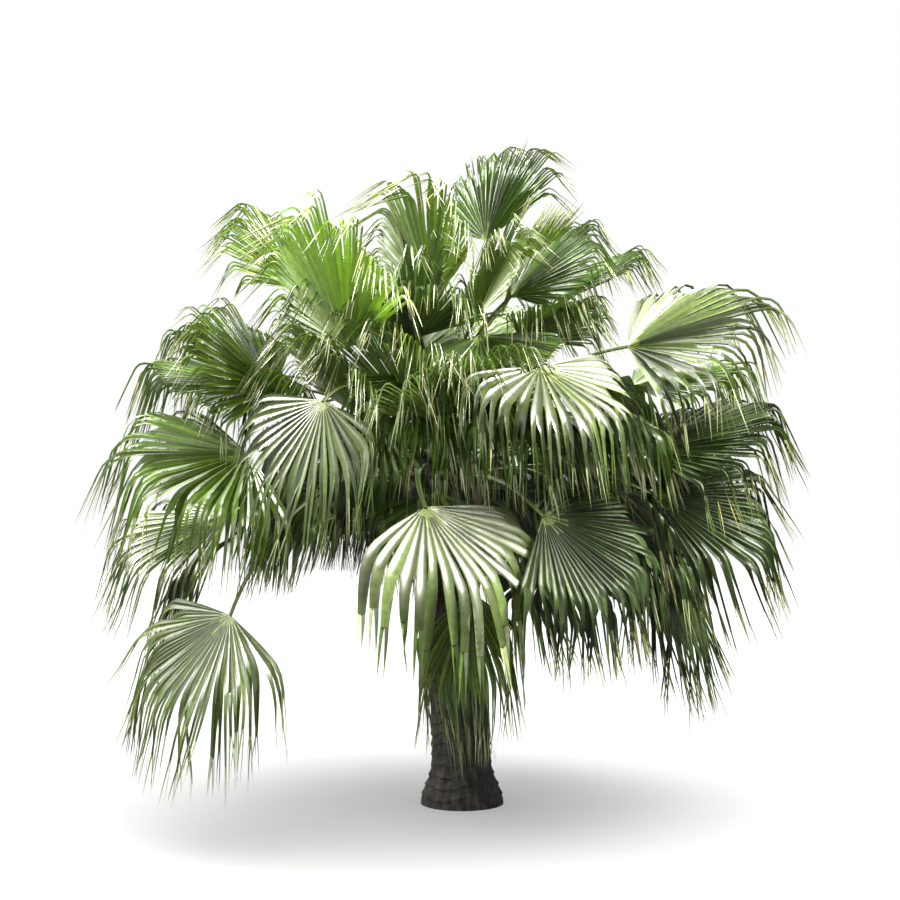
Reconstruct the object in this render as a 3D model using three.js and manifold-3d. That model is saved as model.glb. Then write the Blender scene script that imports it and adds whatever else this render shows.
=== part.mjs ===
// A chinese fan palm: one leaning trunk, and a crown of fan fronds on long stalks whose leaflet tips hang.
// Millimetres, +Z up. The origin is the middle of the flat cut at ground level.
import * as THREE from 'three';
import Module from 'manifold-3d';

const wasm = await Module();
wasm.setup();

const UP = new THREE.Vector3(0, 0, 1);
const GAP = 0.3;                       // clearance between two pieces that touch

// The trunk leans from the origin to the heart, the growing point that every stalk leaves.
const HEART = new THREE.Vector3(-120, 0, 2000);
const LEAN_CURVE = 1.5;                // above 1 the trunk starts upright and leans more as it rises
const TRUNK_SIDES = 14;
const FOOT_RADIUS = 165;               // above the flare
const FLARE = 60;                      // how far the root flare stands out at the ground
const FLARE_HEIGHT = 260;
const FLARE_MIDDLE = 90;               // height of the ring inside the flare
const FLARE_CURVE = 1.6;
const NECK_RADIUS = 135;               // just under the old leaf bases
const BOOT_RADIUS = 205;               // over the old leaf bases and their fibre
const BOOT_START = 1250;               // height where the old leaf bases begin
const BOOT_BLEND = [150, 250];         // below and above that, over which they swell out
const BOOT_STEP = 125;                 // height from one whorl of old leaf bases to the next
const SHOULDER = 51;                   // how much the trunk draws in again just under the heart
const SHOULDER_HEIGHT = 350;
const BUD_RADIUS = [154, 30];          // at the heart and at its tip
const BUD_HEIGHT = 190;
const BUD_MIDDLE = 0.55;               // share of its height where the bud has a ring
const SCAR_STEP = 110;                 // height from one leaf scar to the next
const SCAR_HALF = 14;                  // half the height of a scar
const SCAR_DEPTH = 7;

// Stalks are four-sided and taper from the leaf base to the blade.
const STALK_STEPS = 5;
const STALK_BASE = { width: 62, depth: 40 };
const STALK_TIP = { width: 24, depth: 20 };
const KEEL_LINE = 0.4;                 // where a stalk's side edges lie, as a share of its half depth
const ARCH = 28;                       // how much steeper than its hub's direction a stalk leaves, in degrees
const STEEPEST = 84;
const LEAVE_REACH = 0.4;               // shares of the chord over which it keeps its first and last direction
const ARRIVE_REACH = 0.33;
const LEAF_BASE = { low: -330, high: 60, wide: 90, narrow: 24 };  // of old and young stalks, from the heart
const BASE_RISE = [-50, 78];           // rises of the hubs that get those two

// A blade is a pleated fan. Its leaflets are joined over the share SPLIT of their length, then part, bend
// and hang.
const LEAFLETS = 19;
const SPLIT = 0.44;
const HUB_RADIUS = 32;
const HUB_CORNERS = 5;
const SHEET = 13;                      // thickness of the joined part
const PLEAT = 34;                      // height of a fold where the leaflets part
const FREE_STATIONS = [0.26, 0.56];    // along the free part of a leaflet
const FREE_WIDTHS = [0.62, 0.4];       // of the width where it parted
const KEEL = [17, 14];                 // depth of the folded leaflet at those stations
const BEND_HALF = 0.15;                // share of the length to each side of the kink
const KINK = [0.48, 0.64];             // where a drooping and an upright blade's leaflets bend
const KINK_NOD = [-45, 60];
const LATE = 0.04;                     // how far a single leaflet's kink may lie from that
const DROOP = [0.97, 0.72];            // share of the way to plumb that level and upright leaflets turn
const DROOP_NOD = [0, 80];
const GENTLE = 0.1;                    // share of the bend that is spread over the whole leaflet
const UNEVEN = 0.09;                   // how much shorter a leaflet may be by chance
const OUTER_SHORTER = 0.16;            // and how much shorter one would be that pointed straight back
const PATH_STEPS = 24;                 // along a whole leaflet
const HANG_OUT = 0.2;                  // how far from plumb a hanging tip points, as a slope
const SHORTER = [1, 0.86, 0.74, 0.64]; // lengths tried for a leaflet that would touch something
const TOUCH = 6;                       // room a leaflet keeps to everything else

// Seen from the front: azimuth 0 is to the right, 180 to the left and 270 towards the viewer.
// at: azimuth and rise of the blade's hub from the heart in degrees, and how far it is.
// faces: compass heading and nod of the blade's middle line, and its roll about that line.
// fan: how far it spreads to each side in degrees, and the length of its leaflets.
const SEEN_FRONDS = [
  { name: 'front', at: [267, -18, 1265], faces: [325, -44, 16], fan: [78, 1120] },
  { name: 'front_right', at: [298, -22, 1160], faces: [352, -28, 35], fan: [82, 1080] },
  { name: 'left_face', at: [207, -6, 1115], faces: [214, -8, -32], fan: [86, 1180] },
  { name: 'left_hanging', at: [225, -29, 1680], faces: [195, -42, -16], fan: [84, 1060], arch: 60 },
  { name: 'right_gloss', at: [299, 16, 1065], faces: [316, -38, 13], fan: [100, 930] },
  { name: 'left_gloss', at: [241, 6, 1155], faces: [200, -60, -34], fan: [85, 930] },
  { name: 'bright', at: [230, 30, 840], faces: [200, 72, 10], fan: [80, 1150] },
  { name: 'right_high', at: [333, 22, 1175], faces: [345, 21, 33], fan: [82, 1180] },
  { name: 'top_right', at: [30, 75, 1150], faces: [60, 80, -20], fan: [70, 900] },
  { name: 'top_left', at: [230, 84, 740], faces: [190, 78, 15], fan: [75, 1100] },
  { name: 'upper_right', at: [345, 63, 860], faces: [348, 34, 40], fan: [75, 930] },
  { name: 'upper_left', at: [148, 43, 1300], faces: [184, 60, -29], fan: [78, 950] },
  { name: 'left_high', at: [200, 20, 955], faces: [194, 58, -40], fan: [80, 880] },
  { name: 'right_low', at: [342, -17, 1210], faces: [347, -13, 33], fan: [85, 1200] },
  { name: 'right_mid', at: [3, -9, 1120], faces: [350, 9, 25], fan: [80, 1220] },
  { name: 'left_low', at: [175, -20, 1260], faces: [184, -14, -26], fan: [80, 1150] },
  { name: 'left_level', at: [171, 17, 1035], faces: [186, 9, -18], fan: [80, 1100] },
  { name: 'right_level', at: [18, 15, 1195], faces: [358, 13, 15], fan: [80, 1180] },
  { name: 'centre_up', at: [250, 34, 640], faces: [300, 74, 15], fan: [78, 960] },
  { name: 'centre_high', at: [300, 58, 720], faces: [320, 66, 20], fan: [72, 850] },
  { name: 'centre_left', at: [257, 27, 720], faces: [255, -45, 0], fan: [80, 850] },
  { name: 'centre_right', at: [284, 30, 850], faces: [275, -38, 0], fan: [80, 880] },
  { name: 'front_hanging', at: [280, -43, 1175], faces: [256, -75, 35], fan: [62, 980] },
  { name: 'right_hanging', at: [5, -29, 1400], faces: [330, -68, 0], fan: [58, 1050] },
  { name: 'left_low_back', at: [166, -22, 1350], faces: [190, -30, 0], fan: [62, 900] },
  { name: 'back_right_high', at: [32, 52, 1150], faces: [5, 52, 20], fan: [68, 920] },
];

// The far side, which the front view doesn't show, is filled by the same crown's rule in three tiers.
const BACK_TIERS = [
  { tier: 'upper', azimuths: [75, 118], rise: 38, reach: 1000, nod: 52, fan: [75, 880] },
  { tier: 'middle', azimuths: [42, 76, 110, 146], rise: 5, reach: 1200, nod: -2, fan: [85, 1080] },
  { tier: 'lower', azimuths: [52, 88], rise: -25, reach: 1300, nod: -35, fan: [90, 1120] },
];

const BACK_SWING = 8;                  // degrees up and down in turn, so that neighbours overlap in layers

// A frond that would lie in another turns a little, by growing steps round a circle, until it lies free.
const NUDGES = 160;
const NUDGE_GROWTH = 2.2;              // degrees, times the square root of the step's number
const GOLDEN_ANGLE = 137.5;
const HUB_SHARE = 0.4;                 // of a turn that also moves the hub

// A younger frond, whose blade nods no lower than UPRIGHT, is one piece with its stalk.
const UPRIGHT = 50;
const LAP = 9;                         // how far such a stalk runs into its hub

const degrees = THREE.MathUtils.degToRad;
const mix = THREE.MathUtils.lerp;

function smooth(from, to, value) {
  const t = THREE.MathUtils.clamp((value - from) / (to - from), 0, 1);
  return t * t * (3 - 2 * t);
}

// A repeatable number from -1 to 1 for two whole numbers.
function vary(a, b) {
  const wave = Math.sin(a * 127.1 + b * 311.7) * 43758.5453;
  return 2 * (wave - Math.floor(wave)) - 1;
}

function direction(azimuth, rise) {
  const level = Math.cos(degrees(rise));
  return new THREE.Vector3(
    level * Math.cos(degrees(azimuth)),
    level * Math.sin(degrees(azimuth)),
    Math.sin(degrees(rise)),
  );
}

// Collects triangles on shared vertices and gives them as a closed solid.
class Faces {
  points = [];
  corners = [];
  add(point) {
    this.points.push(point.x, point.y, point.z);
    return this.points.length / 3 - 1;
  }
  triangle(a, b, c) {
    this.corners.push(a, b, c);
  }
  quad(a, b, c, d) {
    this.corners.push(a, b, c, a, c, d);
  }
  solid() {
    return new wasm.Manifold(new wasm.Mesh({
      numProp: 3,
      vertProperties: new Float32Array(this.points),
      triVerts: new Uint32Array(this.corners),
    }));
  }
}

// Skins a row of rings, each a list of points, and closes both ends.
function skin(rings) {
  const faces = new Faces();
  const rows = rings.map((ring) => ring.map((point) => faces.add(point)));
  const sides = rings[0].length;
  for (let r = 0; r + 1 < rows.length; r++) {
    for (let k = 0; k < sides; k++) {
      const next = (k + 1) % sides;
      faces.quad(rows[r][k], rows[r][next], rows[r + 1][next], rows[r + 1][k]);
    }
  }
  const last = rows.length - 1;
  for (let k = 1; k + 1 < sides; k++) {
    faces.triangle(rows[0][0], rows[0][k + 1], rows[0][k]);
    faces.triangle(rows[last][0], rows[last][k], rows[last][k + 1]);
  }
  return faces.solid();
}

// Radius of the trunk at a height, with its flare, taper, old leaf bases and bud.
function trunkRadius(height) {
  if (height > HEART.z) return mix(...BUD_RADIUS, (height - HEART.z) / BUD_HEIGHT);
  const bare = mix(FOOT_RADIUS, NECK_RADIUS, smooth(0, BOOT_START, height));
  const flare = FLARE * (1 - smooth(0, FLARE_HEIGHT, height)) ** FLARE_CURVE;
  const swell = smooth(BOOT_START - BOOT_BLEND[0], BOOT_START + BOOT_BLEND[1], height);
  const shoulder = SHOULDER * smooth(HEART.z - SHOULDER_HEIGHT, HEART.z, height);
  return bare + flare + (BOOT_RADIUS - NECK_RADIUS) * swell - shoulder;
}

function trunkMiddle(height) {
  const share = Math.min(height / HEART.z, 1) ** LEAN_CURVE;
  return new THREE.Vector3(HEART.x * share, HEART.y * share, height);
}

// Heights of the trunk's rings: the flare, a pair for each scar, the old leaf bases and the bud.
function trunkHeights() {
  const heights = [0, FLARE_MIDDLE, FLARE_HEIGHT];
  for (let z = FLARE_HEIGHT + SCAR_STEP; z < BOOT_START - SCAR_STEP / 2; z += SCAR_STEP) {
    heights.push(z - SCAR_HALF, z + SCAR_HALF);
  }
  for (let z = BOOT_START; z < HEART.z; z += BOOT_STEP) heights.push(z);
  return [...heights, HEART.z, HEART.z + BUD_HEIGHT * BUD_MIDDLE, HEART.z + BUD_HEIGHT];
}

// The trunk, or with a margin the space that stalks keep clear of. Rings stand out and in by turns, and over
// the old leaf bases each is turned by half a side against the last.
function trunkSolid(margin = 0) {
  const rings = trunkHeights().map((height, row) => {
    const even = row % 2 === 0;
    const relief = height > FLARE_HEIGHT ? SCAR_DEPTH * (even ? -1 : 1) : 0;
    const offset = height > BOOT_START && !even ? 0.5 : 0;
    const radius = trunkRadius(height) + relief + margin;
    const middle = trunkMiddle(height);
    if (height > 0) middle.z += margin;
    const ring = [];
    for (let k = 0; k < TRUNK_SIDES; k++) {
      const turn = (2 * Math.PI * (k + offset)) / TRUNK_SIDES;
      const spoke = new THREE.Vector3(Math.cos(turn), Math.sin(turn), 0);
      ring.push(middle.clone().addScaledVector(spoke, radius));
    }
    return ring;
  });
  return skin(rings);
}

// Everything that follows from one row of the frond table, turned by a nudge where it needs one. The blade's
// frame is along its middle line, to its side, and up out of its upper face.
function makeFrond(row, index, nudge = 0) {
  const size = NUDGE_GROWTH * Math.sqrt(nudge);
  const turn = degrees(GOLDEN_ANGLE * nudge);
  const azimuth = row.at[0] + HUB_SHARE * size * Math.cos(2 * turn);
  const rise = row.at[1] + HUB_SHARE * size * Math.sin(2 * turn);
  const heading = row.faces[0] + size * Math.cos(turn);
  const nod = row.faces[1] + size * Math.sin(turn);
  const roll = row.faces[2] + size * Math.sin(3 * turn);
  const along = direction(heading, nod);
  const level = new THREE.Vector3().crossVectors(UP, direction(heading, 0));
  const side = level.applyAxisAngle(along, degrees(roll));
  return {
    index,
    azimuth,
    rise,
    hub: HEART.clone().addScaledVector(direction(azimuth, rise), row.at[2]),
    along,
    side,
    up: new THREE.Vector3().crossVectors(along, side),
    young: row.faces[1] >= UPRIGHT,
    arch: row.arch ?? ARCH,
    spread: degrees(row.fan[0]),
    length: row.fan[1],
    droop: mix(...DROOP, smooth(...DROOP_NOD, nod)),
    kink: mix(...KINK, smooth(...KINK_NOD, nod)),
    plumb: direction(azimuth, 0).multiplyScalar(HANG_OUT).sub(UP).normalize(),
  };
}

function frondRows() {
  const rows = [...SEEN_FRONDS];
  for (const { tier, azimuths, rise, reach, nod, fan } of BACK_TIERS) {
    azimuths.forEach((azimuth, k) => {
      const swing = BACK_SWING * (k % 2 ? 1 : -1);
      const at = [azimuth, rise + swing, reach];
      const faces = [azimuth, nod + swing, swing];
      rows.push({ name: `back_${tier}_${k + 1}`, at, faces, fan });
    });
  }
  return rows;
}

// Frame of a leaflet at a share of its length: it leaves the hub at an angle, then bends to the plumb line.
function leafFrame(frond, angle, share, late = 0) {
  const along = frond.along.clone().applyAxisAngle(frond.up, angle);
  const side = frond.side.clone().applyAxisAngle(frond.up, angle);
  const axis = new THREE.Vector3().crossVectors(along, frond.plumb).normalize();
  const bent = smooth(frond.kink - BEND_HALF + late, frond.kink + BEND_HALF + late, share);
  const turn = along.angleTo(frond.plumb) * frond.droop * (GENTLE * share + (1 - GENTLE) * bent);
  along.applyAxisAngle(axis, turn);
  side.applyAxisAngle(axis, turn);
  return { along, side, up: new THREE.Vector3().crossVectors(along, side) };
}

// Where a leaflet's middle line is at a share of its length, by adding up short steps.
function leafPoint(frond, angle, share, late = 0) {
  const steps = Math.max(2, Math.ceil(share * PATH_STEPS));
  const point = frond.hub.clone();
  for (let k = 0; k < steps; k++) {
    const { along } = leafFrame(frond, angle, (share * (k + 0.5)) / steps, late);
    point.addScaledVector(along, (frond.length * share) / steps);
  }
  return point;
}

// The stalk: a bowed, tapering limb from inside the trunk to the back of the blade's hub.
function stalkSolid(frond) {
  const [lowest, highest] = BASE_RISE;
  const youth = THREE.MathUtils.clamp((frond.rise - lowest) / (highest - lowest), 0, 1);
  const out = direction(frond.azimuth, 0);
  const root = HEART.clone().addScaledVector(out, mix(LEAF_BASE.wide, LEAF_BASE.narrow, youth));
  root.z += mix(LEAF_BASE.low, LEAF_BASE.high, youth);
  const back = HUB_RADIUS * Math.cos(frond.spread) + (frond.young ? LAP : -GAP);
  const tip = frond.hub.clone().addScaledVector(frond.along, back);
  const chord = tip.clone().sub(root);
  const leave = direction(frond.azimuth, Math.min(frond.rise + frond.arch, STEEPEST));
  const arrive = direction(frond.azimuth, frond.rise - frond.arch).add(frond.along).normalize();
  const curve = new THREE.CubicBezierCurve3(
    root,
    root.clone().addScaledVector(leave, chord.length() * LEAVE_REACH),
    tip.clone().addScaledVector(arrive, -chord.length() * ARRIVE_REACH),
    tip,
  );
  const rings = [];
  for (let k = 0; k <= STALK_STEPS; k++) {
    const t = k / STALK_STEPS;
    const tangent = k === STALK_STEPS ? frond.along : curve.getTangent(t);
    const side = new THREE.Vector3().crossVectors(UP, out).lerp(frond.side, t);
    side.addScaledVector(tangent, -side.dot(tangent)).normalize();
    const up = new THREE.Vector3().crossVectors(tangent, side);
    const width = mix(STALK_BASE.width, STALK_TIP.width, Math.sqrt(t)) / 2;
    const depth = mix(STALK_BASE.depth, STALK_TIP.depth, Math.sqrt(t)) / 2;
    const edge = -depth * KEEL_LINE;
    const corners = [[-width, edge], [0, -depth], [width, edge], [0, depth]];
    const middle = curve.getPoint(t);
    const corner = ([x, y]) => middle.clone().addScaledVector(side, x).addScaledVector(up, y);
    rings.push(corners.map(corner));
  }
  return skin(rings);
}

// Half of the angle that one leaflet takes in the fan.
function halfAngle(frond) {
  return frond.spread / LEAFLETS;
}

// The three corners of a free leaflet's section: right edge, left edge and the keel under the fold.
function leafletSection(frond, leaflet, station) {
  const share = mix(SPLIT, leaflet.reach, FREE_STATIONS[station]);
  const frame = leafFrame(frond, leaflet.angle, share, leaflet.late);
  const middle = leafPoint(frond, leaflet.angle, share, leaflet.late);
  const half = halfAngle(frond) * SPLIT * frond.length * FREE_WIDTHS[station];
  return {
    frame,
    right: middle.clone().addScaledVector(frame.side, half),
    left: middle.clone().addScaledVector(frame.side, -half),
    keel: middle.clone().addScaledVector(frame.up, -KEEL[station]),
  };
}

function leafletTip(frond, leaflet) {
  return leafPoint(frond, leaflet.angle, leaflet.reach, leaflet.late);
}

// The free part of one leaflet with some room round it, to try whether it touches anything.
function leafletProbe(frond, leaflet) {
  const half = halfAngle(frond);
  const parted = SPLIT * frond.length;
  const right = sheetPoints(frond, leaflet.angle + half, parted, PLEAT / 2, TOUCH);
  const left = sheetPoints(frond, leaflet.angle - half, parted, PLEAT / 2, TOUCH);
  const [, keel] = sheetPoints(frond, leaflet.angle, parted, -PLEAT / 2, TOUCH);
  const root = leafFrame(frond, leaflet.angle, SPLIT);
  const off = (point, frame, x, y) => {
    return point.clone().addScaledVector(frame.side, x * TOUCH).addScaledVector(frame.up, y * TOUCH);
  };
  const rings = [[
    off(right[0], root, 1, 0),
    off(left[0], root, -1, 0),
    off(left[1], root, -1, 0),
    keel,
    off(right[1], root, 1, 0),
  ]];
  const around = (frame, rightEdge, leftEdge, keelLine) => rings.push([
    off(rightEdge, frame, 1, 1),
    off(leftEdge, frame, -1, 1),
    off(leftEdge, frame, -1, -1),
    off(keelLine, frame, 0, -1),
    off(rightEdge, frame, 1, -1),
  ]);
  for (let station = 0; station < FREE_STATIONS.length; station++) {
    const section = leafletSection(frond, leaflet, station);
    around(section.frame, section.right, section.left, section.keel);
  }
  const end = leafFrame(frond, leaflet.angle, leaflet.reach, leaflet.late);
  const tip = leafletTip(frond, leaflet).addScaledVector(end.along, TOUCH);
  around(end, tip, tip, tip);
  return skin(rings);
}

function boxesMeet(a, b) {
  return [0, 1, 2].every((k) => a.min[k] <= b.max[k] && b.min[k] <= a.max[k]);
}

function touches(solid, others) {
  const box = solid.boundingBox();
  return others.some((other) => boxesMeet(box, other.box) && !solid.intersect(other.solid).isEmpty());
}

// Leaflets of a frond, each as long as it can be without touching what stands there already.
function planLeaflets(frond, others) {
  const leaflets = [];
  for (let k = 0; k < LEAFLETS; k++) {
    const angle = -frond.spread + (2 * k + 1) * halfAngle(frond);
    const outer = OUTER_SHORTER * (angle / Math.PI) ** 2;
    const full = 1 - UNEVEN * Math.abs(vary(frond.index, k)) - outer;
    const leaflet = { angle, late: LATE * vary(k, frond.index), reach: 0 };
    for (const share of SHORTER) {
      leaflet.reach = full * share;
      if (!touches(leafletProbe(frond, leaflet), others)) break;
      leaflet.reach = 0;
    }
    leaflets.push(leaflet);
  }
  return leaflets;
}

// The upper and under point of the pleated, joined part, at an angle and a radius.
function sheetPoints(frond, angle, radius, fold, fat = 0) {
  const share = radius / frond.length;
  const { up } = leafFrame(frond, angle, share);
  const middle = leafPoint(frond, angle, share);
  const half = SHEET / 2 + fat;
  return [fold + half, fold - half].map((height) => middle.clone().addScaledVector(up, height));
}

// The blade: hub, pleated joined part and free leaflets, as one closed solid. Without leaflets it ends where
// they would part, and fat adds room above and below the sheet.
function bladeSolid(frond, leaflets, fat = 0) {
  const faces = new Faces();
  const { spread } = frond;
  const half = halfAngle(frond);
  const parted = SPLIT * frond.length;
  const pair = (...where) => {
    const [top, under] = sheetPoints(frond, ...where, fat).map((point) => faces.add(point));
    return { top, under };
  };
  const both = (a, b, c) => {
    faces.triangle(a.top, b.top, c.top);
    faces.triangle(a.under, c.under, b.under);
  };
  const wall = (a, b) => faces.quad(a.top, b.top, b.under, a.under);

  const hub = [];
  for (let k = 0; k < HUB_CORNERS; k++) {
    hub.push(pair(mix(-spread, spread, k / (HUB_CORNERS - 1)), HUB_RADIUS, 0));
  }
  const edges = [];
  const ribs = [];
  for (let k = 0; k <= LEAFLETS; k++) {
    edges.push(pair(-spread + 2 * k * half, parted, PLEAT / 2));
    if (k < LEAFLETS) ribs.push(pair(-spread + (2 * k + 1) * half, parted, -PLEAT / 2));
  }

  for (let k = 1; k + 1 < HUB_CORNERS; k++) both(hub[0], hub[k], hub[k + 1]);
  wall(hub[0], hub[HUB_CORNERS - 1]);
  const hubAt = (k) => Math.round((k / LEAFLETS) * (HUB_CORNERS - 1));
  for (let k = 0; k < LEAFLETS; k++) {
    both(hub[hubAt(k)], edges[k], ribs[k]);
    both(hub[hubAt(k)], ribs[k], edges[k + 1]);
    if (hubAt(k + 1) !== hubAt(k)) both(hub[hubAt(k)], edges[k + 1], hub[hubAt(k + 1)]);
  }
  wall(edges[0], hub[0]);
  wall(hub[HUB_CORNERS - 1], edges[LEAFLETS]);

  for (let k = 0; k < LEAFLETS; k++) {
    const leaflet = leaflets?.[k] ?? { reach: 0 };
    addLeaflet(faces, frond, leaflet, edges[k], ribs[k], edges[k + 1]);
  }
  return faces.solid();
}

// Carries one leaflet on from the three points where it parts, or closes the sheet there.
function addLeaflet(faces, frond, leaflet, left, rib, right) {
  if (!leaflet.reach) {
    faces.quad(rib.top, left.top, left.under, rib.under);
    faces.quad(right.top, rib.top, rib.under, right.under);
    return;
  }
  const addSection = (station) => {
    const section = leafletSection(frond, leaflet, station);
    return [section.right, section.left, section.keel].map((point) => faces.add(point));
  };
  const [r, l, keel] = addSection(0);
  faces.triangle(left.top, l, rib.top);
  faces.triangle(rib.top, l, r);
  faces.triangle(rib.top, r, right.top);
  faces.quad(left.under, rib.under, keel, l);
  faces.quad(rib.under, right.under, r, keel);
  faces.triangle(l, left.top, left.under);
  faces.triangle(right.top, r, right.under);
  const [r2, l2, keel2] = addSection(1);
  faces.quad(l, l2, r2, r);
  faces.quad(l, keel, keel2, l2);
  faces.quad(keel, r, r2, keel2);
  const tip = faces.add(leafletTip(frond, leaflet));
  faces.triangle(l2, tip, r2);
  faces.triangle(l2, keel2, tip);
  faces.triangle(keel2, r2, tip);
}

function namedMesh(name, solid, material) {
  const { numProp, numVert, vertProperties, triVerts } = solid.getMesh();
  const position = new Float32Array(numVert * 3);
  for (let k = 0; k < numVert; k++) {
    position.set(vertProperties.subarray(k * numProp, k * numProp + 3), k * 3);
  }
  const geometry = new THREE.BufferGeometry()
    .setAttribute('position', new THREE.BufferAttribute(position, 3))
    .setIndex(new THREE.BufferAttribute(new Uint32Array(triVerts), 1));
  const mesh = new THREE.Mesh(geometry, material);
  mesh.name = name;
  return mesh;
}

const bark = new THREE.MeshStandardMaterial({ color: 0x5c5247, roughness: 0.95 });
const stalkGreen = new THREE.MeshStandardMaterial({ color: 0x6f8a35, roughness: 0.55 });
const leafGreen = new THREE.MeshStandardMaterial({ color: 0x3f6a24, roughness: 0.45 });

const withBox = (solid) => ({ solid, box: solid.boundingBox() });
const trunk = withBox(trunkSolid());
const trunkSpace = trunkSolid(GAP);

// The first of a row's nudged fronds whose stalk and joined part touch nothing.
function findPlace(row, index, others) {
  for (let nudge = 0; nudge < NUDGES; nudge++) {
    const frond = makeFrond(row, index, nudge);
    const stalk = stalkSolid(frond).subtract(trunkSpace);
    const joined = bladeSolid(frond, null, TOUCH);
    if (!touches(stalk, others) && !touches(joined, others)) return { frond, stalk };
  }
  throw new Error(`frond ${row.name} has no free place`);
}

const palm = new THREE.Group();
palm.add(namedMesh('trunk', trunk.solid, bark));
const placed = [trunk];
frondRows().forEach((row, index) => {
  const { frond, stalk } = findPlace(row, index, placed);
  const blade = bladeSolid(frond, planLeaflets(frond, placed));
  if (frond.young) {
    const whole = blade.add(stalk);
    palm.add(namedMesh(`frond_${row.name}`, whole, leafGreen));
    placed.push(withBox(whole));
    return;
  }
  palm.add(namedMesh(`stalk_${row.name}`, stalk, stalkGreen));
  palm.add(namedMesh(`blade_${row.name}`, blade, leafGreen));
  placed.push(withBox(stalk), withBox(blade));
});

export default palm;
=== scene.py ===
# %% [markdown]
# # A chinese fan palm
# A young fan palm stands on one leaning trunk and carries a round crown of fan leaves, called fronds. Each
# has a long stalk and a pleated blade. Half way out the blade's leaflets part, bend over and hang as threads.
# The palm's plain solids are loaded first. They settle where every frond is, and each step after that grows
# one kind of fine piece in their place. Everything is in metres, with +Z up and the ground at zero.

import math

import bpy
import numpy as np
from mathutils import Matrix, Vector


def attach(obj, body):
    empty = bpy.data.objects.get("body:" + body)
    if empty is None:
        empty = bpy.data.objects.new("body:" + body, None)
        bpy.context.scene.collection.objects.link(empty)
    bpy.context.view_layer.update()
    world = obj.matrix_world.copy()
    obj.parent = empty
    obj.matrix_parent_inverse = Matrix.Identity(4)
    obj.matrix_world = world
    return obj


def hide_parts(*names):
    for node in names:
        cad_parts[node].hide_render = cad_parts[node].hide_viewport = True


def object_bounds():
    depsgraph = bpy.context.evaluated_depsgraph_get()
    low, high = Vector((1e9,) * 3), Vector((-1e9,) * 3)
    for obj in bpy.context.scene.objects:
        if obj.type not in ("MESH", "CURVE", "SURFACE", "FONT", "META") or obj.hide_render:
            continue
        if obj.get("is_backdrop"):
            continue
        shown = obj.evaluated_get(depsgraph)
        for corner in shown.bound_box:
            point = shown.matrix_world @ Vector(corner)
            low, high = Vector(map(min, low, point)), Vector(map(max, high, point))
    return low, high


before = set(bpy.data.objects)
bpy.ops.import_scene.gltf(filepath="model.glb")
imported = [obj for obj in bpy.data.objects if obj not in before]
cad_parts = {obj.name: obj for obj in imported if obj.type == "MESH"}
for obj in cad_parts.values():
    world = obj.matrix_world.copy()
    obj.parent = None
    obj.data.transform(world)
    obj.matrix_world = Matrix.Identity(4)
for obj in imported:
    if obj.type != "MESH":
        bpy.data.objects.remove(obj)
solid_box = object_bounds()
print("solids:", len(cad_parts), "size", [round(v, 2) for v in solid_box[1] - solid_box[0]])

# %% [markdown]
# ## The camera
# The photograph was taken from eye level, about eight metres away, looking slightly up into the crown. A near
# camera with a wide view would swell the front fronds, and a far one would flatten the crown. This distance
# and lens together give the photograph's own foreshortening.

# %% Camera
CAMERA_PLACE = (-0.066, -8.0, 1.6)
CAMERA_LIFT = 2.32      # degrees above level
CAMERA_LENS = 58.18     # millimetres
SENSOR_WIDTH = 36       # millimetres


def add_object(name, data):
    """Puts a new object with this data into the scene."""
    added = bpy.data.objects.new(name, data)
    bpy.context.scene.collection.objects.link(added)
    return added


camera = add_object("camera", bpy.data.cameras.new("camera"))
camera.data.lens = CAMERA_LENS
camera.data.sensor_width = SENSOR_WIDTH
camera.location = CAMERA_PLACE
camera.rotation_euler = (math.radians(90 + CAMERA_LIFT), 0, 0)
bpy.context.scene.camera = camera
print("camera", CAMERA_PLACE, "lens", CAMERA_LENS)

# %% [markdown]
# ## Directions and turns
# A palm is drawn with turns: a stalk leaves at an angle, a blade nods and rolls, and a leaflet bends until it
# hangs plumb. These helpers work on whole arrays of vectors at once, because there will be over three
# thousand leaflets with some twenty stations each, and a loop over single vectors would take minutes.

# %% Helpers for vectors
UP = np.array([0.0, 0.0, 1.0])
VARY_RATES = (127.1, 311.7)     # large uneven numbers, so that near neighbours differ
VARY_SPREAD = 43758.5453


def unit(vectors):
    return vectors / np.linalg.norm(vectors, axis=-1, keepdims=True)


def mix(start, end, share):
    return start + (end - start) * share


def smooth(start, end, value):
    """From 0 at start to 1 at end, level at both."""
    t = np.clip((value - start) / (end - start), 0, 1)
    return t * t * (3 - 2 * t)


def rotate(vectors, axes, angles):
    """Turns vectors about unit axes by angles in radians."""
    angles = np.asarray(angles)[..., None]
    cos, sin = np.cos(angles), np.sin(angles)
    lengthwise = (vectors * axes).sum(-1, keepdims=True) * axes
    return vectors * cos + np.cross(axes, vectors) * sin + lengthwise * (1 - cos)


def direction(azimuth, rise):
    """Azimuth 0 is to the right and 270 towards the camera."""
    a, r = math.radians(azimuth), math.radians(rise)
    return np.array([math.cos(r) * math.cos(a), math.cos(r) * math.sin(a), math.sin(r)])


def vary(a, b):
    """A repeatable number from -1 to 1 for two whole numbers."""
    wave = np.sin(a * VARY_RATES[0] + b * VARY_RATES[1]) * VARY_SPREAD
    return 2 * (wave - np.floor(wave)) - 1


# %% [markdown]
# ## The crown's rule
# Every stalk leaves the heart, the growing point at the top of the trunk. A frond is told by where its hub
# lies from there, which way its blade faces, and how far it fans out. The solids were drawn by this same
# rule, so the same numbers give the same fronds here. The rows follow the photograph's fronds one by one, and
# the last word of each names its colour: young fronds are yellow-green, and old ones dark and greyed. A waxy
# bloom makes some look silver where they catch the light.

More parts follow.
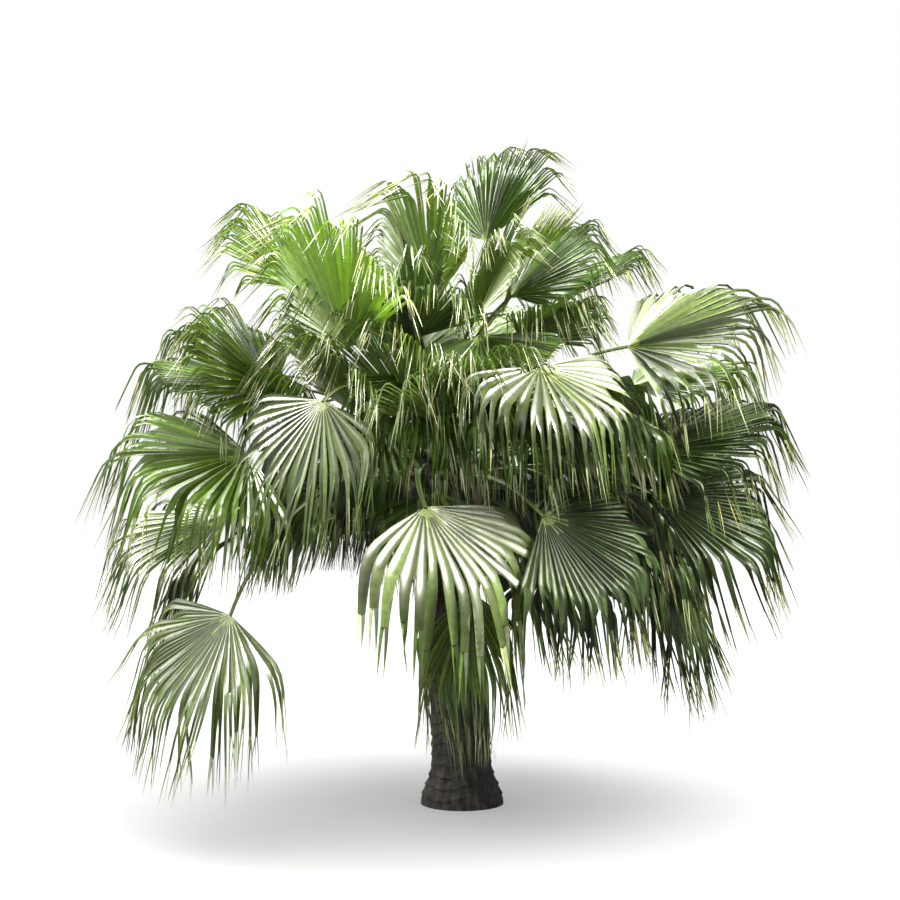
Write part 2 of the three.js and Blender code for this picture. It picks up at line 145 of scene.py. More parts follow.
# %% Sizes of the crown
HEART = np.array([-0.120, 0.0, 2.000])
LEAFLETS = 19             # broad leaflets on a solid blade
SPLIT = 0.44              # share of a leaflet's length where it parts from its neighbours
SHEET = 0.013             # thickness of a solid blade
PLEAT = 0.034             # height of its folds
BEND_HALF = 0.15          # half of the stretch over which a leaflet bends
KINK = (0.48, 0.64)       # where the leaflets of drooping and of upright blades bend
KINK_NOD = (-45, 60)      # nods of those blades, in degrees
LATE = 0.04               # most that one leaflet bends later than the rest
DROOP = (0.97, 0.72)      # share of the way to plumb that leaflets turn on level and on upright blades
DROOP_NOD = (0, 80)       # nods of those blades, in degrees
GENTLE = 0.1              # share of that turn that is spread over the whole leaflet
UNEVEN = 0.09             # most that one leaflet is shorter than the rest
OUTER_SHORTER = 0.16      # how much shorter a leaflet would be half a turn from the blade's middle
PATH_STEPS = 24           # steps in the line of a whole leaflet, as in the solids
HANG_OUT = 0.2            # how far plumb leans away from the trunk
SHORTER = (1, 0.86, 0.74, 0.64)     # lengths that were tried where something stood in the way
ARCH = 28                 # degrees by which a stalk leaves more steeply than its hub lies
UPRIGHT = 50              # a blade that nods no lower is young
NUDGES = 160              # most nudges that were tried
NUDGE_GROWTH = 2.2        # degrees, times the root of the nudge's number
GOLDEN_ANGLE = 137.5
HUB_SHARE = 0.4           # share of a nudge by which the hub moves too
BACK_SWING = 8            # degrees by which neighbours on the far side differ

# %% The fronds that the photograph shows
# name, hub (azimuth, rise, distance), blade (heading, nod, roll), fan (spread, length), colour
SEEN_FRONDS = [
    ("front", (267, -18, 1.265), (325, -44, 16), (78, 1.12), "silver"),
    ("front_right", (298, -22, 1.16), (352, -28, 35), (82, 1.08), "old"),
    ("left_face", (207, -6, 1.115), (214, -8, -32), (86, 1.18), "fresh"),
    ("left_hanging", (225, -29, 1.68), (195, -42, -16), (84, 1.06), "silver"),
    ("right_gloss", (299, 16, 1.065), (316, -38, 13), (100, 0.93), "silver"),
    ("left_gloss", (241, 6, 1.155), (200, -60, -34), (85, 0.93), "silver"),
    ("bright", (230, 30, 0.84), (200, 72, 10), (80, 1.15), "young"),
    ("right_high", (333, 22, 1.175), (345, 21, 33), (82, 1.18), "silver"),
    ("top_right", (30, 75, 1.15), (60, 80, -20), (70, 0.9), "deep"),
    ("top_left", (230, 84, 0.74), (190, 78, 15), (75, 1.1), "fresh"),
    ("upper_right", (345, 63, 0.86), (348, 34, 40), (75, 0.93), "deep"),
    ("upper_left", (148, 43, 1.3), (184, 60, -29), (78, 0.95), "fresh"),
    ("left_high", (200, 20, 0.955), (194, 58, -40), (80, 0.88), "fresh"),
    ("right_low", (342, -17, 1.21), (347, -13, 33), (85, 1.2), "old"),
    ("right_mid", (3, -9, 1.12), (350, 9, 25), (80, 1.22), "old"),
    ("left_low", (175, -20, 1.26), (184, -14, -26), (80, 1.15), "silver"),
    ("left_level", (171, 17, 1.035), (186, 9, -18), (80, 1.1), "deep"),
    ("right_level", (18, 15, 1.195), (358, 13, 15), (80, 1.18), "deep"),
    ("centre_up", (250, 34, 0.64), (300, 74, 15), (78, 0.96), "deep"),
    ("centre_high", (300, 58, 0.72), (320, 66, 20), (72, 0.85), "fresh"),
    ("centre_left", (257, 27, 0.72), (255, -45, 0), (80, 0.85), "deep"),
    ("centre_right", (284, 30, 0.85), (275, -38, 0), (80, 0.88), "deep"),
    ("front_hanging", (280, -43, 1.175), (256, -75, 35), (62, 0.98), "fresh"),
    ("right_hanging", (5, -29, 1.4), (330, -68, 0), (58, 1.05), "old"),
    ("left_low_back", (166, -22, 1.35), (190, -30, 0), (62, 0.9), "old"),
    ("back_right_high", (32, 52, 1.15), (5, 52, 20), (68, 0.92), "deep"),
]
HIGH_ARCHES = {"left_hanging": 60}

# %% [markdown]
# The far side of the crown isn't in the photograph. The same rule fills it in three tiers, so that the palm
# is as full from behind as from the front.

# %% The fronds of the far side
# tier, azimuths, rise, distance, nod, fan (spread, length), colour
BACK_TIERS = [
    ("upper", (75, 118), 38, 1.0, 52, (75, 0.88), "fresh"),
    ("middle", (42, 76, 110, 146), 5, 1.2, -2, (85, 1.08), "deep"),
    ("lower", (52, 88), -25, 1.3, -35, (90, 1.12), "old"),
]


def frond_rows():
    rows = list(SEEN_FRONDS)
    for tier, azimuths, rise, distance, nod, fan, colour in BACK_TIERS:
        for k, azimuth in enumerate(azimuths):
            swing = BACK_SWING * (1 if k % 2 else -1)
            at = (azimuth, rise + swing, distance)
            faces = (azimuth, nod + swing, swing)
            rows.append((f"back_{tier}_{k + 1}", at, faces, fan, colour))
    return rows


print("fronds:", len(frond_rows()))

# %% [markdown]
# A frond keeps its own small set of axes: along the blade's middle, to its side, and up out of its upper
# face. A blade that would have met another was nudged aside a little when the solids were drawn, in numbered
# steps round a circle, and the same number here gives the same nudge.

# %% A frond
class Frond:
    """Where one frond's hub is, how its blade lies, and how its leaflets bend."""

    def __init__(self, row, index, nudge=0):
        self.name, at, faces, fan, self.colour = row
        size = NUDGE_GROWTH * math.sqrt(nudge)
        turn = math.radians(GOLDEN_ANGLE * nudge)
        self.index = index
        self.azimuth = at[0] + HUB_SHARE * size * math.cos(2 * turn)
        self.rise = at[1] + HUB_SHARE * size * math.sin(2 * turn)
        heading = faces[0] + size * math.cos(turn)
        nod = faces[1] + size * math.sin(turn)
        roll = faces[2] + size * math.sin(3 * turn)
        self.hub = HEART + direction(self.azimuth, self.rise) * at[2]
        self.along = direction(heading, nod)
        level = np.cross(UP, direction(heading, 0))
        self.side = rotate(level, self.along, math.radians(roll))
        self.up = np.cross(self.along, self.side)
        self.young = faces[1] >= UPRIGHT
        self.arch = HIGH_ARCHES.get(self.name, ARCH)
        self.spread = math.radians(fan[0])
        self.length = fan[1]
        self.droop = mix(*DROOP, smooth(*DROOP_NOD, nod))
        self.kink = mix(*KINK, smooth(*KINK_NOD, nod))
        self.plumb = unit(direction(self.azimuth, 0) * HANG_OUT - UP)

    def nodes(self):
        """The solids that stand for this frond."""
        if self.young:
            return [f"frond_{self.name}"]
        return [f"stalk_{self.name}", f"blade_{self.name}"]


# %% [markdown]
# ## How a leaflet bends
# A leaflet leaves the hub at its angle in the fan and runs nearly straight. At the kink it turns towards
# plumb within a short stretch, and the rest hangs. Its line is found by adding up short steps, each in the
# direction that the leaflet has there.

# %% The line of a leaflet
def leaf_axes(frond, angle, share, late=0.0, plumb=None, bend_half=BEND_HALF):
    """Directions along, to the side and up out of a leaflet at a share of its length."""
    plumb = frond.plumb if plumb is None else plumb
    along = rotate(frond.along, frond.up, angle)
    side = rotate(frond.side, frond.up, angle)
    axis = unit(np.cross(along, plumb))
    bent = smooth(frond.kink - bend_half + late, frond.kink + bend_half + late, share)
    whole = np.arccos(np.clip((along * plumb).sum(-1), -1, 1))
    turn = whole * frond.droop * (GENTLE * share + (1 - GENTLE) * bent)
    along = rotate(along, axis, turn)
    side = rotate(side, axis, turn)
    return along, side, np.cross(along, side)


def leaf_point(frond, angle, share, late=0.0):
    """Where a leaflet's middle line is, in the same steps as in the solids."""
    steps = max(2, math.ceil(share * PATH_STEPS))
    middles = share * (np.arange(steps) + 0.5) / steps
    along, _, _ = leaf_axes(frond, np.full(steps, angle), middles, late)
    return frond.hub + along.sum(0) * frond.length * share / steps


# %% [markdown]
# ## Reading the places from the solids
# Which nudge a frond got, and how long each of its leaflets could grow, was decided by what stood in its way.
# Working that out again would be slow. The solids already hold the answer: the right nudge is the one whose
# blade has its outermost corners on the solid's own corners, and a leaflet's length is the one whose tip is.

# %% Find each frond and its leaflets
NEAR = 0.0015


def node_points(name):
    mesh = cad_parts[name].data
    points = np.empty(len(mesh.vertices) * 3)
    mesh.vertices.foreach_get("co", points)
    return points.reshape(-1, 3)


def touched(points, place):
    return np.abs(points - place).max(1).min() < NEAR


def parted_corner(frond, angle):
    """Upper corner of the solid blade where its leaflets part."""
    _, _, up = leaf_axes(frond, np.array(angle), SPLIT)
    return leaf_point(frond, angle, SPLIT) + up * (PLEAT + SHEET) / 2


def find_frond(row, index):
    for nudge in range(NUDGES):
        frond = Frond(row, index, nudge)
        points = node_points(frond.nodes()[-1])
        if all(touched(points, parted_corner(frond, end)) for end in (-frond.spread, frond.spread)):
            return frond, points
    raise ValueError(f"no nudge fits the solid of {row[0]}")


def find_leaflets(frond, points):
    """For each broad leaflet of the solid, how late it bends and how far it reaches, 0 for one left out."""
    frond.late = LATE * vary(np.arange(LEAFLETS), frond.index)
    frond.reach = np.zeros(LEAFLETS)
    for k in range(LEAFLETS):
        angle = frond.spread * ((2 * k + 1) / LEAFLETS - 1)
        full = 1 - UNEVEN * abs(vary(frond.index, k)) - OUTER_SHORTER * (angle / math.pi) ** 2
        for share in SHORTER:
            if touched(points, leaf_point(frond, angle, full * share, frond.late[k])):
                frond.reach[k] = full * share
                break


fronds = []
for index, row in enumerate(frond_rows()):
    frond, points = find_frond(row, index)
    find_leaflets(frond, points)
    fronds.append(frond)
print("fronds found:", len(fronds), "leaflets left out:", sum((f.reach == 0).sum() for f in fronds))

# %% [markdown]
# ## The fronds inside the crown
# A real crown holds as many fronds again, short and shaded ones that close the gaps between the large ones.
# They grow by the same rule, in tiers round the heart. Each is tried with the numbered nudges until its blade
# stands well clear of the blades that are already there. Where none does, the nudge with the most room wins.

# %% Tiers of inner fronds
# tier, azimuths, rise, distance, nod, fan (spread, length), colour
INNER_TIERS = [
    ("low", (12, 63, 115, 166, 218, 269, 321), -20, 0.80, -48, (72, 0.74), "deep"),
    ("middle", (40, 91, 143, 194, 246, 297, 349), 12, 0.70, -42, (76, 0.82), "deep"),
    ("high", (20, 80, 140, 200, 260, 320), 46, 0.70, 40, (70, 0.72), "deep"),
    ("skirt", (15, 50, 85, 120, 155), -6, 0.55, -70, (80, 0.85), "old"),
    ("veil", (30, 62, 100, 140), -8, 1.00, -62, (80, 0.90), "old"),
    ("right", (340, 8, 30), -12, 1.05, -42, (80, 1.00), "old"),
    ("level", (336, 12), 12, 0.98, -30, (80, 0.90), "deep"),
    ("fringe", (204, 228, 253, 282), 2, 0.66, 57, (66, 0.98), "fresh"),
]
TIER_UNEVEN = 0.08                  # most by which a hub lies nearer or further out, as a share
CLEAR = 0.10                        # metres to the nearest other blade that are enough
TRIES = 60
SPOKES = 9                          # a blade is felt along this many lines from its hub
SPOKE_SHARES = (0.1, 0.25, 0.4)     # and at these shares of their length


def inner_rows():
    for tier, azimuths, rise, distance, nod, fan, colour in INNER_TIERS:
        for k, azimuth in enumerate(azimuths):
            uneven = 1 + TIER_UNEVEN * vary(k, len(azimuths))
            at = (azimuth, rise, distance * uneven)
            yield f"inner_{tier}_{k + 1}", at, (azimuth, nod, 0), fan, colour


def blade_samples(frond):
    """Points spread over the joined part of a blade."""
    angles = np.linspace(-frond.spread, frond.spread, SPOKES)
    spokes = np.array([rotate(frond.along, frond.up, angle) for angle in angles])
    return np.concatenate([frond.hub + spokes * frond.length * share for share in SPOKE_SHARES])


def uneven_reach(frond):
    """Leaflets that nothing stands in the way of."""
    frond.reach = 1 - UNEVEN * np.abs(vary(frond.index, np.arange(LEAFLETS)))


def room_for(frond, taken):
    """Metres between a blade and the nearest one that is already there."""
    return np.linalg.norm(blade_samples(frond)[:, None] - taken[None], axis=-1).min()


def grow_inner_fronds():
    taken = np.concatenate([blade_samples(frond) for frond in fronds])
    grown, rooms = [], []
    for number, row in enumerate(inner_rows()):
        best, best_room = None, -1
        for nudge in range(TRIES):
            frond = Frond(row, len(fronds) + number, nudge)
            room = room_for(frond, taken)
            if room > best_room:
                best, best_room = frond, room
            if room > CLEAR:
                break
        best.late = LATE * vary(np.arange(LEAFLETS), best.index)
        uneven_reach(best)
        taken = np.concatenate([taken, blade_samples(best)])
        grown.append(best)
        rooms.append(best_room)
    print("inner fronds:", len(grown), "least room", round(min(rooms), 3))
    return grown


SOLID_FRONDS = len(fronds)
fronds += grow_inner_fronds()

# %% [markdown]
# The youngest fronds stand in the heart as spears. Their fans are still folded up, or just begin to open, and
# don't droop.

# %% Spears
# name, hub (azimuth, rise, distance), blade (heading, nod, roll), fan (spread, length), colour
SPEARS = [
    ("spear_right", (12, 64, 0.78), (12, 60, 30), (13, 0.82), "young"),
    ("spear_tall", (350, 72, 0.72), (8, 68, 0), (9, 0.78), "fresh"),
    ("spear_left", (170, 80, 0.55), (140, 80, 0), (8, 0.75), "fresh"),
]
STRAIGHT = 0.05         # share of the way to plumb that their leaflets turn


def grow_spears():
    for number, row in enumerate(SPEARS):
        frond = Frond(row, len(fronds) + number)
        frond.droop = STRAIGHT
        frond.late = np.zeros(LEAFLETS)
        uneven_reach(frond)
        yield frond


fronds += list(grow_spears())
print("fronds in all:", len(fronds))

# %% [markdown]
# ## Finer leaflets
# A real blade has about sixty narrow leaflets where the solid has nineteen broad ones. Each broad leaflet
# becomes up to three that stay inside its reach, each a little shorter, later or earlier to bend, and turned
# a little on its own. Neighbours inside one broad leaflet part later than the broad ones do, and draw
# together a little, which gives the uneven, grouped edge of the real fan.

# %% Sizes of the finer leaflets
STUB = SPLIT + 0.07             # how far a leaflet reaches whose broad one was left out
SHORTER_BY = 0.16               # most that a narrow leaflet is shorter, as a share
CLOSING_AT = (0.2, 0.6)         # between these shares a group draws together
GROUP_SCATTER = {"late": 0.032, "plumb": 0.11, "twist": 0.7}
OWN_SCATTER = {"late": 0.016, "plumb": 0.05, "twist": 0.4}
UNEVEN_FOLD = (0.5, 1.25)       # least and most share of the manner's fold where a leaflet hangs
FOLD_SETTLED = 0.5              # share of the free part after which it has that fold
MOSTLY_LATE = 0.6               # under 1, so most splits inside a group are late ones
FORK_AT = (0.42, 0.68)          # least and most share of the free part where a leaflet forks
THREAD_ENDS = (0.72, 1)         # least and most share of the rest that its two threads reach
THREAD_GAPS = (0.008, 0.04)     # metres between their tips
LINE_STEPS = 144
# where each kind of random draws starts, so that no two kinds draw alike
SEEDS = {"leaflets": 1, "threads": 1000, "thorns": 2000, "leaf bases": 3000, "fibre": 4000, "shades": 5000}

# %% [markdown]
# Fans differ in manner. On a plain fan the leaflets are steeply folded and break over in a tight knee. Some
# fans of the photograph have broader leaflets, like straps. These part early and arch over gently, with dark
# gaps between. The foremost fan has the broadest of all. The flatter its leaflets lie, the wider is their
# gloss, so the front fan and the one that hangs at the left are shallow, and others keep their ridges. Round
# the heart stand fans that part early into narrow leaflets, whose tips come over and hang as a fringe. The
# inner fans are plain ones with fewer leaflets, as the outer ones hide them, and a spear is folded up tight.

# %% Manners of a fan
class Manner:
    """How the leaflets of a fan part, bend and fold."""

    def __init__(self, finer, fold, earlier=0.25, later=0.10, closing=0.10, bend=0.045, pleat=0.012,
                 width=0.8, paling_and_painted_glow=(3, 12)):
        self.finer = finer          # leaflets for each broad one of the solid
        self.fold = [math.radians(steepness) for steepness in fold]     # of a half, in the fan and hanging
        self.earlier = earlier      # how much nearer the hub groups part, at most
        self.later = later          # how much further out the leaflets of a group part, at most
        self.closing = closing      # how far a group draws together
        self.bend = bend            # half of the stretch over which a leaflet bends
        self.pleat = pleat          # height that the broad leaflets' folds keep
        self.width = width          # breadth of a free leaflet, as a share of its place in the fan
        # the step lighter is partly the leaflet's own paling outwards and partly painted light, the glow of
        # the lit outer fan
        self.paling_and_painted_glow = paling_and_painted_glow      # stations between which a leaflet turns one shade lighter


PLAIN = Manner(3, (46, 62), earlier=0.15, later=0.16, closing=0.16, width=1)
INSIDE = Manner(2, (42, 60), earlier=0.15, later=0.16, closing=0.16, width=1)
STRAPS = Manner(2, (28, 36), earlier=0.31, bend=0.13, pleat=0.006, width=0.66, paling_and_painted_glow=(12, 20))
RIDGED = Manner(2, (46, 60), bend=0.10, paling_and_painted_glow=(12, 20))
SHALLOW = Manner(3, (20, 23), bend=0.12, pleat=0.006, width=0.85, paling_and_painted_glow=(9, 16))
FINE = Manner(3, (32, 40), later=0.08, closing=0.12, bend=0.10, pleat=0.010)
BROADEST = Manner(1, (14, 22), earlier=0.27, later=0, closing=0, bend=0.15, pleat=0.003, paling_and_painted_glow=(12, 20))
FRINGE = Manner(3, (42, 62), earlier=0.26, later=0, closing=0.25, bend=0.06, width=0.75)
SPEAR = Manner(2, (76, 82), earlier=0.05, later=0.20, closing=0, pleat=0.002, width=1)
OWN_MANNERS = {
    "front": BROADEST,
    "right_gloss": STRAPS,
    "left_gloss": STRAPS,
    "right_high": RIDGED,
    "left_hanging": SHALLOW,
    "left_low": FINE,
    "left_face": FINE,
}
FAMILY_MANNERS = {"inner_fringe": FRINGE, "inner": INSIDE, "spear": SPEAR}


def manner_of(name):
    for family, manner in FAMILY_MANNERS.items():
        if name.startswith(family):
            return manner
    return OWN_MANNERS.get(name, PLAIN)


for frond in fronds:
    frond.manner = manner_of(frond.name)
    frond.count = LEAFLETS * frond.manner.finer
print("leaflets:", sum(frond.count for frond in fronds))

# %% [markdown]
# The lines of all leaflets of a frond are grown together, in many short steps, and read off wherever a
# station is wanted. The borders between leaflets get lines of their own, so that two neighbours share one
# edge for as long as they are joined.

# %% Lines of many leaflets
class Lines:
    """The lines of a frond's leaflets, or of the borders between them."""

    def __init__(self, frond, angle, centre, late, plumb):
        self.frond, self.angle, self.centre = frond, angle, centre
        self.late, self.plumb = late, plumb
        everyone = np.arange(len(angle))
        middles = (np.arange(LINE_STEPS) + 0.5) / LINE_STEPS
        along, _, _ = self.axes(middles[None], everyone)
        steps = np.cumsum(along * frond.length / LINE_STEPS, axis=1)
        start = np.zeros((len(angle), 1, 3))
        self.points = frond.hub + np.concatenate([start, steps], axis=1)

    def axes(self, shares, chosen):
        """Directions along, to the side and up, at each chosen line's own row of shares."""
        centre = self.centre[chosen][:, None]
        apart = self.angle[chosen][:, None] - centre
        angle = centre + apart * (1 - self.frond.manner.closing * smooth(*CLOSING_AT, shares))
        late, plumb = self.late[chosen][:, None], self.plumb[chosen][:, None]
        return leaf_axes(self.frond, angle, shares, late, plumb, self.frond.manner.bend)

    def read(self, shares, chosen):
        """Points at each chosen line's own row of shares."""
        place = np.clip(shares, 0, 1) * LINE_STEPS
        low = np.minimum(place.astype(int), LINE_STEPS - 1)
        rows = chosen[:, None]
        return mix(self.points[rows, low], self.points[rows, low + 1], (place - low)[..., None])


# %% Plan the leaflets of a frond
class Plan:
    """What differs from leaflet to leaflet in one frond."""

    def __init__(self, frond):
        chance = np.random.default_rng(SEEDS["leaflets"] + frond.index)
        count, manner = frond.count, frond.manner
        finer = manner.finer
        self.everyone = np.arange(count)
        angle = frond.spread * ((2 * self.everyone + 1) / count - 1)
        centre = np.repeat(frond.spread * ((2 * np.arange(LEAFLETS) + 1) / LEAFLETS - 1), finer)
        reach = np.repeat(frond.reach, finer)
        free = np.where(reach > 0, reach, STUB) - SPLIT
        self.reach = SPLIT + free * (1 - SHORTER_BY * chance.random(count))

        def scatter(kind, width=1):
            groups = np.repeat(chance.normal(size=(LEAFLETS, width)), finer, axis=0)
            return GROUP_SCATTER[kind] * groups + OWN_SCATTER[kind] * chance.normal(size=(count, width))

        late = np.repeat(frond.late, finer) + scatter("late")[:, 0]
        plumb = unit(frond.plumb + scatter("plumb", 3) * (1, 1, 0))
        self.twist = scatter("twist")[:, 0]
        self.leaflets = Lines(frond, angle, centre, late, plumb)

        numbers = np.arange(count + 1)
        inner = numbers % finer != 0
        border = frond.spread * (2 * numbers / count - 1)
        border_centre = np.where(inner, np.append(centre, 0)[numbers], border)
        late = np.pad(late, 1, mode="edge")
        plumb = np.pad(plumb, ((1, 1), (0, 0)), mode="edge")
        late, plumb = (late[:-1] + late[1:]) / 2, unit(plumb[:-1] + plumb[1:])
        self.borders = Lines(frond, border, border_centre, late, plumb)
        early, longer = chance.random(count + 1), chance.random(count + 1)
        self.split = SPLIT + np.where(inner, manner.later * longer ** MOSTLY_LATE, -manner.earlier * early)

        self.fork = chance.uniform(*FORK_AT, count)
        self.thread_ends = chance.uniform(*THREAD_ENDS, (count, 2))
        self.thread_gap = chance.uniform(*THREAD_GAPS, count)
        self.steepness = chance.uniform(*UNEVEN_FOLD, count)


def fold_of(frond, plan, free):
    """How steeply each leaflet is folded: alike in the fan, and each in its own way where it hangs."""
    hanging = frond.manner.fold[1] * plan.steepness[:, None]
    return mix(frond.manner.fold[0], hanging, smooth(0, FOLD_SETTLED, free))


plans = [Plan(frond) for frond in fronds]

# %% [markdown]
# A leaflet that swings out of the crown's outline is cut short there, so the crown keeps its size.

# %% Keep the leaflets inside the crown
ROOM = 0.012                # metres by which a leaflet may swing out of the solids' box


def keep_inside(plan):
    """Shortens the leaflets whose line leaves the box of the solids, and returns how many."""
    low, high = np.array(solid_box[0]) - ROOM, np.array(solid_box[1]) + ROOM
    points = plan.leaflets.points
    outside = ((points < low) | (points > high)).any(-1)
    first = np.where(outside.any(1), outside.argmax(1) - 1, LINE_STEPS)
    shorter = first / LINE_STEPS < plan.reach
    plan.reach = np.minimum(plan.reach, np.maximum(first / LINE_STEPS, STUB))
    return shorter.sum()


print("leaflets cut short:", sum(keep_inside(plan) for plan in plans))

# %% [markdown]
# ## The blade's folds
# Each leaflet is folded along its rib like a half-open book, with the rib low and the edges high. While the
# leaflets are joined, the folds make the pleats of the fan. A section of a leaflet has four points: the left
# edge, the rib's top, the right edge and the rib's keel underneath. Skinned along the leaflet, they give a
# closed thin shape with a real rib and sharp margins, which a flat card with a picture of a leaf wouldn't.

# %% Sizes of the folds
JOINED_STATIONS = np.array([0.012, 0.06, 0.12, 0.18, 0.24, 0.30, 0.36, 0.41])
BEFORE_KNEE, AFTER_KNEE = 3, 5                  # stations before and after those of the knee
KNEE = np.array([-1, -0.5, 0, 0.5, 1])          # stations of the knee, in halves of its stretch
KNEE_ROOM = 0.01                                # least share between the knee and the ends of the free part
IN_ORDER = 1e-5                                 # keeps two stations from falling together
NARROWEST = math.radians(60)                    # a fan that opens less has leaflets as wide as if it did
WIDTH_AT = (0, 0.15, 0.35, 0.6, 0.85, 1)        # along the free part
WIDTH = (1, 0.98, 0.86, 0.64, 0.42, 0.12)
RIB_DEPTH = (0.0034, 0.0008)                    # of the keel, at the hub and at the tip
TWISTS_AT = (0.25, 1)                           # between these shares of the free part a leaflet turns
PLEAT_ENDS = 0.3                                # share of the free part where the broad folds have faded
PARTING = 0.05                                  # share of the length over which two edges draw apart


def half_width(frond, free):
    """Half of a leaflet's breadth along its free part, where free goes from 0 to 1."""
    pitch = max(frond.spread, NARROWEST) / frond.count * SPLIT * frond.length
    return pitch * frond.manner.width * np.interp(free, WIDTH_AT, WIDTH)


def broad_fold(frond, borders_from_start):
    """From 1 on the borders of broad leaflets to -1 on their middles."""
    phase = np.asarray(borders_from_start) / frond.manner.finer % 1
    return 4 * np.abs(phase - 0.5) - 1


def free_stations(frond, plan):
    """Shares of each leaflet's length where its free part has stations, closest together at the knee."""
    end = (SPLIT + plan.fork * (plan.reach - SPLIT))[:, None]
    knee = frond.kink + plan.leaflets.late[:, None] + KNEE * frond.manner.bend
    knee = np.clip(knee, SPLIT + KNEE_ROOM, end - KNEE_ROOM)
    before = SPLIT + (knee[:, :1] - SPLIT) * np.arange(BEFORE_KNEE) / BEFORE_KNEE
    after = knee[:, -1:] + (end - knee[:, -1:]) * (np.arange(AFTER_KNEE) + 1) / AFTER_KNEE
    shares = np.concatenate([before, knee, after], axis=1)
    return shares + np.arange(shares.shape[1]) * IN_ORDER


# %% Sections of the leaflets
def twisted_axes(plan, shares, free):
    """A leaflet's own directions, turned about it where it hangs."""
    along, side, up = plan.leaflets.axes(shares, plan.everyone)
    turn = plan.twist[:, None] * smooth(*TWISTS_AT, free)
    return along, rotate(side, along, turn), rotate(up, along, turn)


def leaflet_sections(frond, plan):
    """Arrays of the four section points, each (leaflet, station, xyz)."""
    everyone = plan.everyone
    joined = np.repeat(JOINED_STATIONS[None], frond.count, axis=0)
    shares = np.concatenate([joined, free_stations(frond, plan)], axis=1)
    free = np.maximum(shares - SPLIT, 0) / (plan.reach[:, None] - SPLIT)
    growth = np.minimum(shares / SPLIT, 1)

    middle = plan.leaflets.read(shares, everyone)
    _, side, up = twisted_axes(plan, shares, free)
    fold = fold_of(frond, plan, free)
    breadth = half_width(frond, free) * growth
    out = side * (breadth * np.cos(fold))[..., None]
    rise = (breadth * np.sin(fold) / 2)[..., None]
    broad = (frond.manner.pleat * growth * (1 - smooth(0, PLEAT_ENDS, free)))[..., None]
    rib = middle - up * rise + up * broad * broad_fold(frond, everyone + 0.5)[:, None, None]
    keel = rib - up * mix(*RIB_DEPTH, shares)[..., None]
    left = fan_edge(frond, plan, everyone + 1, shares, middle + out + up * rise, rise, broad)
    right = fan_edge(frond, plan, everyone, shares, middle - out + up * rise, rise, broad)
    return left, rib, right, keel


def fan_edge(frond, plan, numbers, shares, own, rise, broad):
    """One edge of every leaflet: on the shared border while joined, and then the leaflet's own."""
    border = plan.borders.read(shares, numbers)
    _, _, up = plan.borders.axes(shares, numbers)
    border = border + up * rise + up * broad * broad_fold(frond, numbers)[:, None, None]
    parting = plan.split[numbers][:, None]
    return mix(border, own, smooth(parting, parting + PARTING, shares)[..., None])


sections = [leaflet_sections(frond, plan) for frond, plan in zip(fronds, plans)]
print("stations on a leaflet:", sections[0][0].shape[1])

# %% [markdown]
# ## From sections to meshes
# A mesh is a list of points and a list of faces that name them. All leaflets have the same number of
# sections, so one small list of faces serves for all of them: it is repeated with the point numbers moved on.

# %% Skin closed strips
def strip_faces(stations, corners):
    """Faces of one closed strip whose sections go round in corners points, with the place of each face."""
    faces = []
    places = []
    for s in range(stations - 1):
        for c in range(corners):
            low, high = s * corners, (s + 1) * corners
            following = (c + 1) % corners
            faces.append((low + c, low + following, high + following, high + c))
            places.append((s, c))
    last = (stations - 1) * corners
    for c in range(1, corners - 1):
        faces += [(0, c + 1, c), (last, last + c, last + c + 1)]
        places += [(0, corners), (stations - 1, corners)]
    return faces, places


def one_slot(*place):
    """For pieces of one finish: each face takes the first slot."""
    return 0


def repeat_strip(points, slot_of=one_slot):
    """All strips of an array (strip, station, corner, xyz) as points, faces and material slots."""
    strips, stations, corners, _ = points.shape
    faces, places = strip_faces(stations, corners)
    slots = [slot_of(n, *place) for n in range(strips) for place in places]
    size = stations * corners
    all_faces = [tuple(size * n + v for v in face) for n in range(strips) for face in faces]
    return points.reshape(-1, 3), all_faces, slots


def join_parts(parts):
    """Joins several (points, faces, slots) into one."""
    points, faces, slots, start = [], [], [], 0
    for some_points, some_faces, some_slots in parts:
        points.append(some_points)
        faces += [tuple(start + v for v in face) for face in some_faces]
        slots += some_slots
        start += len(some_points)
    return np.concatenate(points), faces, slots


# %% A piece of the palm
def add_piece(name, part, finishes, nodes, sharp=30):
    """Makes a mesh, gives it its finishes and ties it to the solids that it stands for.

    An edge is sharp where its faces turn by more than so many degrees.
    """
    points, faces, slots = part
    mesh = bpy.data.meshes.new(name)
    mesh.from_pydata(points.tolist(), [], faces)
    mesh.polygons.foreach_set("material_index", slots)
    for finish in finishes:
        mesh.materials.append(finish)
    mesh.shade_smooth()
    mesh.set_sharp_from_angle(angle=math.radians(sharp))
    piece = add_object(name, mesh)
    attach(piece, "root")
    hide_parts(*nodes)
    print(f"{name}: {sum(len(face) - 2 for face in faces)} triangles")


# %% [markdown]
# ## Finishes
# A finish is drawn with nodes: small boxes that each work out one thing, such as noise or a colour, and pass
# it on through links until it reaches the shader, which answers the light. The same few are wanted for leaf,
# stalk, bark and floor, so a small class keeps them together, and each finish then reads as a short recipe.

